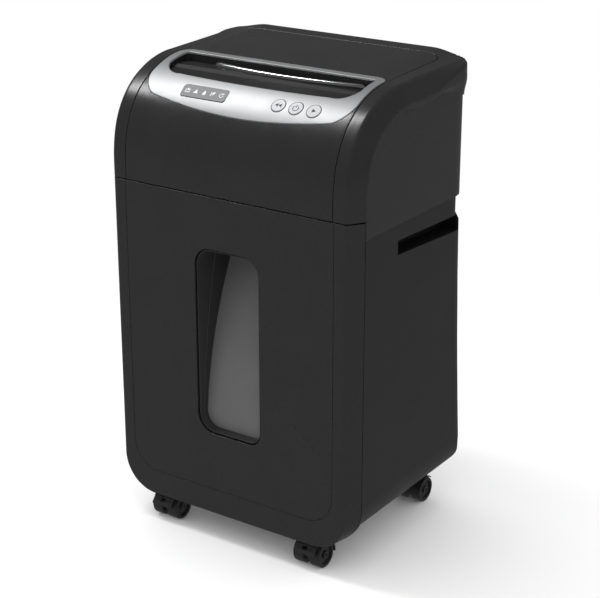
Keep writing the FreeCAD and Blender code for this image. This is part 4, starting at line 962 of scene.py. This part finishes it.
board_green = bpy.data.materials.new("board_green")
board_green.use_nodes = True
tree = board_green.node_tree
shader = tree.nodes["Principled BSDF"]
place = node(tree, "ShaderNodeTexCoord").outputs["Object"]
tracks = node(tree, "ShaderNodeTexBrick", {"Vector": place, "Color1": (0.020, 0.13, 0.045, 1.0),
                                           "Color2": (0.018, 0.11, 0.040, 1.0),
                                           "Mortar": (0.045, 0.22, 0.080, 1.0), "Scale": 220.0,
                                           "Mortar Size": 0.06, "Brick Width": 1.7, "Row Height": 0.6})
tree.links.new(tracks.outputs["Color"], shader.inputs["Base Color"])
haze = use_group(tree, "mould_grain", Patches_per_metre=40.0)
gloss = node(tree, "ShaderNodeMapRange", {"Value": haze.outputs["Patches"], "To Min": 0.22, "To Max": 0.42})
tree.links.new(gloss.outputs["Result"], shader.inputs["Roughness"])
bump = node(tree, "ShaderNodeBump", {"Height": tracks.outputs["Fac"], "Strength": 0.4, "Distance": 0.04 * MM})
tree.links.new(bump.outputs["Normal"], shader.inputs["Normal"])
dress(board_green, "control_board", "power_board")

# ------------------------------------------------------------------ screws
# Four blackened zinc screws that hold the head cover to its tray from the rear.

black_zinc = machined_metal("black_zinc", (0.22, 0.22, 0.23), 0.4, 0.7, (1500.0, 1500.0, 1500.0), 0.15)
dress(black_zinc, "head_screws")

# ------------------------------------------------------------------ casters
# Four hooded twin-wheel furniture casters in black nylon: a hood over two wheels on one axle,
# a steel stem in a socket under the cabinet, and a toe-operated brake lever on the front pair.

hood_nylon = moulded_plastic("hood_nylon", (0.0105, 0.0105, 0.0109), 0.46, grain_mm=0.7, relief=0.14,
                             wear=0.08, dust=0.05)
wheel_nylon = moulded_plastic("wheel_nylon", (0.0135, 0.0135, 0.0139), 0.40, grain_mm=0.9, relief=0.10,
                              spread=0.18, wear=0.12, dust=0.08)
dress(hood_nylon, "caster_sockets")
for place_name in ("front_left", "front_right", "rear_left", "rear_right"):
    dress(hood_nylon, "caster_housing_" + place_name)
    soften(0.35, "caster_housing_" + place_name)
    for side in ("left", "right"):
        dress(wheel_nylon, "caster_wheel_" + place_name + "_" + side)
lever_nylon = moulded_plastic("lever_nylon", (0.0120, 0.0120, 0.0124), 0.42, grain_mm=0.6, wear=0.10,
                              dust=0.05)
dress(lever_nylon, "brake_lever_front_left", "brake_lever_front_right")
soften(0.35, "brake_lever_front_left", "brake_lever_front_right")

# ------------------------------------------------------------------ floor, light and camera
# A pale studio floor that fades into a white background, one large soft box above and to the left,
# and even light from the surroundings, which reflections see dimmed: painted dark reflections.

floor_mesh = bpy.data.meshes.new("studio_floor")
build = bmesh.new()
bmesh.ops.create_grid(build, x_segments=40, y_segments=40, size=6.0)
build.to_mesh(floor_mesh)
build.free()
floor = bpy.data.objects.new("studio_floor", floor_mesh)
bpy.context.scene.collection.objects.link(floor)
pale = bpy.data.materials.new("pale_floor")
pale.use_nodes = True
tree = pale.node_tree
shader = tree.nodes["Principled BSDF"]
shader.inputs["Base Color"].default_value = (0.93, 0.93, 0.93, 1.0)
shader.inputs["Roughness"].default_value = 0.8
shader.inputs["Specular IOR Level"].default_value = 0.2
place = node(tree, "ShaderNodeTexCoord").outputs["Object"]
away = node(tree, "ShaderNodeVectorMath", {0: place}, operation="LENGTH")
fade = node(tree, "ShaderNodeMapRange", {"Value": away.outputs["Value"], "From Min": 0.3, "From Max": 1.0})
seen = node(tree, "ShaderNodeLightPath")
share = node(tree, "ShaderNodeMath", {0: fade.outputs["Result"], 1: seen.outputs["Is Camera Ray"]},
             operation="MULTIPLY")
glow = node(tree, "ShaderNodeEmission", {"Color": (1.0, 1.0, 1.0, 1.0), "Strength": 1.0})
blend = node(tree, "ShaderNodeMixShader", {0: share.outputs["Value"], 1: shader.outputs["BSDF"],
                                           2: glow.outputs["Emission"]})
# Reflections see the floor as a flat faint glow instead of its lit face: a painted dark reflection.
dim = node(tree, "ShaderNodeEmission", {"Color": (1.0, 1.0, 1.0, 1.0), "Strength": 0.22})
reflected = node(tree, "ShaderNodeMixShader", {0: seen.outputs["Is Glossy Ray"], 1: blend.outputs["Shader"],
                                               2: dim.outputs["Emission"]})
tree.links.new(reflected.outputs["Shader"], tree.nodes["Material Output"].inputs["Surface"])
floor_mesh.materials.append(pale)

scene = bpy.context.scene
world = bpy.data.worlds.new("white_surroundings")
scene.world = world
world.use_nodes = True
tree = world.node_tree
sky = tree.nodes["Background"]
seen = node(tree, "ShaderNodeLightPath")
direct = node(tree, "ShaderNodeMath", {0: seen.outputs["Is Camera Ray"],
                                       1: seen.outputs["Is Transmission Ray"]}, operation="MAXIMUM")
# Reflections alone see dimmer surroundings, though nothing in the scene darkens them: a painted dark
# reflection on every glossy surface.
level = node(tree, "ShaderNodeMapRange", {"Value": seen.outputs["Is Glossy Ray"], "To Min": 1.2,
                                          "To Max": 0.12})
most = node(tree, "ShaderNodeMath", {0: level.outputs["Result"], 1: direct.outputs["Value"]},
            operation="MAXIMUM")
sky.inputs["Color"].default_value = (1.0, 1.0, 1.0, 1.0)
tree.links.new(most.outputs["Value"], sky.inputs["Strength"])

# The soft box hangs above and to the left, a little tilted, so that both cheeks of the head
# catch a short glint beside the silver bezel.
box_left, box_right = Vector((-1.25, -0.51, 1.82)), Vector((-0.68, -0.16, 2.04))
key_data = bpy.data.lights.new("soft_box", "AREA")
key_data.shape = "RECTANGLE"
key_data.size = 0.8
key_data.size_y = 0.26
key_data.energy = 14.5
key = bpy.data.objects.new("soft_box", key_data)
key.location = (box_left + box_right) / 2
outward = (key.location - Vector((0.0, -0.1, 0.57))).normalized()
across = outward.cross(box_right - box_left).normalized()
key.rotation_euler = Matrix((across.cross(outward), across, outward)).transposed().to_euler()
scene.collection.objects.link(key)

AZIMUTH = math.radians(34.34)
ELEVATION = math.radians(20.83)
DISTANCE = 1.8886
aim = Vector((0.1069, front_y, 0.3583))
back = Vector((math.sin(AZIMUTH) * math.cos(ELEVATION), -math.cos(AZIMUTH) * math.cos(ELEVATION),
               math.sin(ELEVATION)))
camera_data = bpy.data.cameras.new("camera")
camera_data.sensor_fit = "HORIZONTAL"
camera_data.sensor_width = 36.0
camera_data.lens = 97.4
camera = bpy.data.objects.new("camera", camera_data)
camera.location = aim + back * DISTANCE
camera.rotation_euler = back.to_track_quat("Z", "Y").to_euler()
scene.collection.objects.link(camera)
scene.camera = camera
scene.view_settings.view_transform = "Standard"
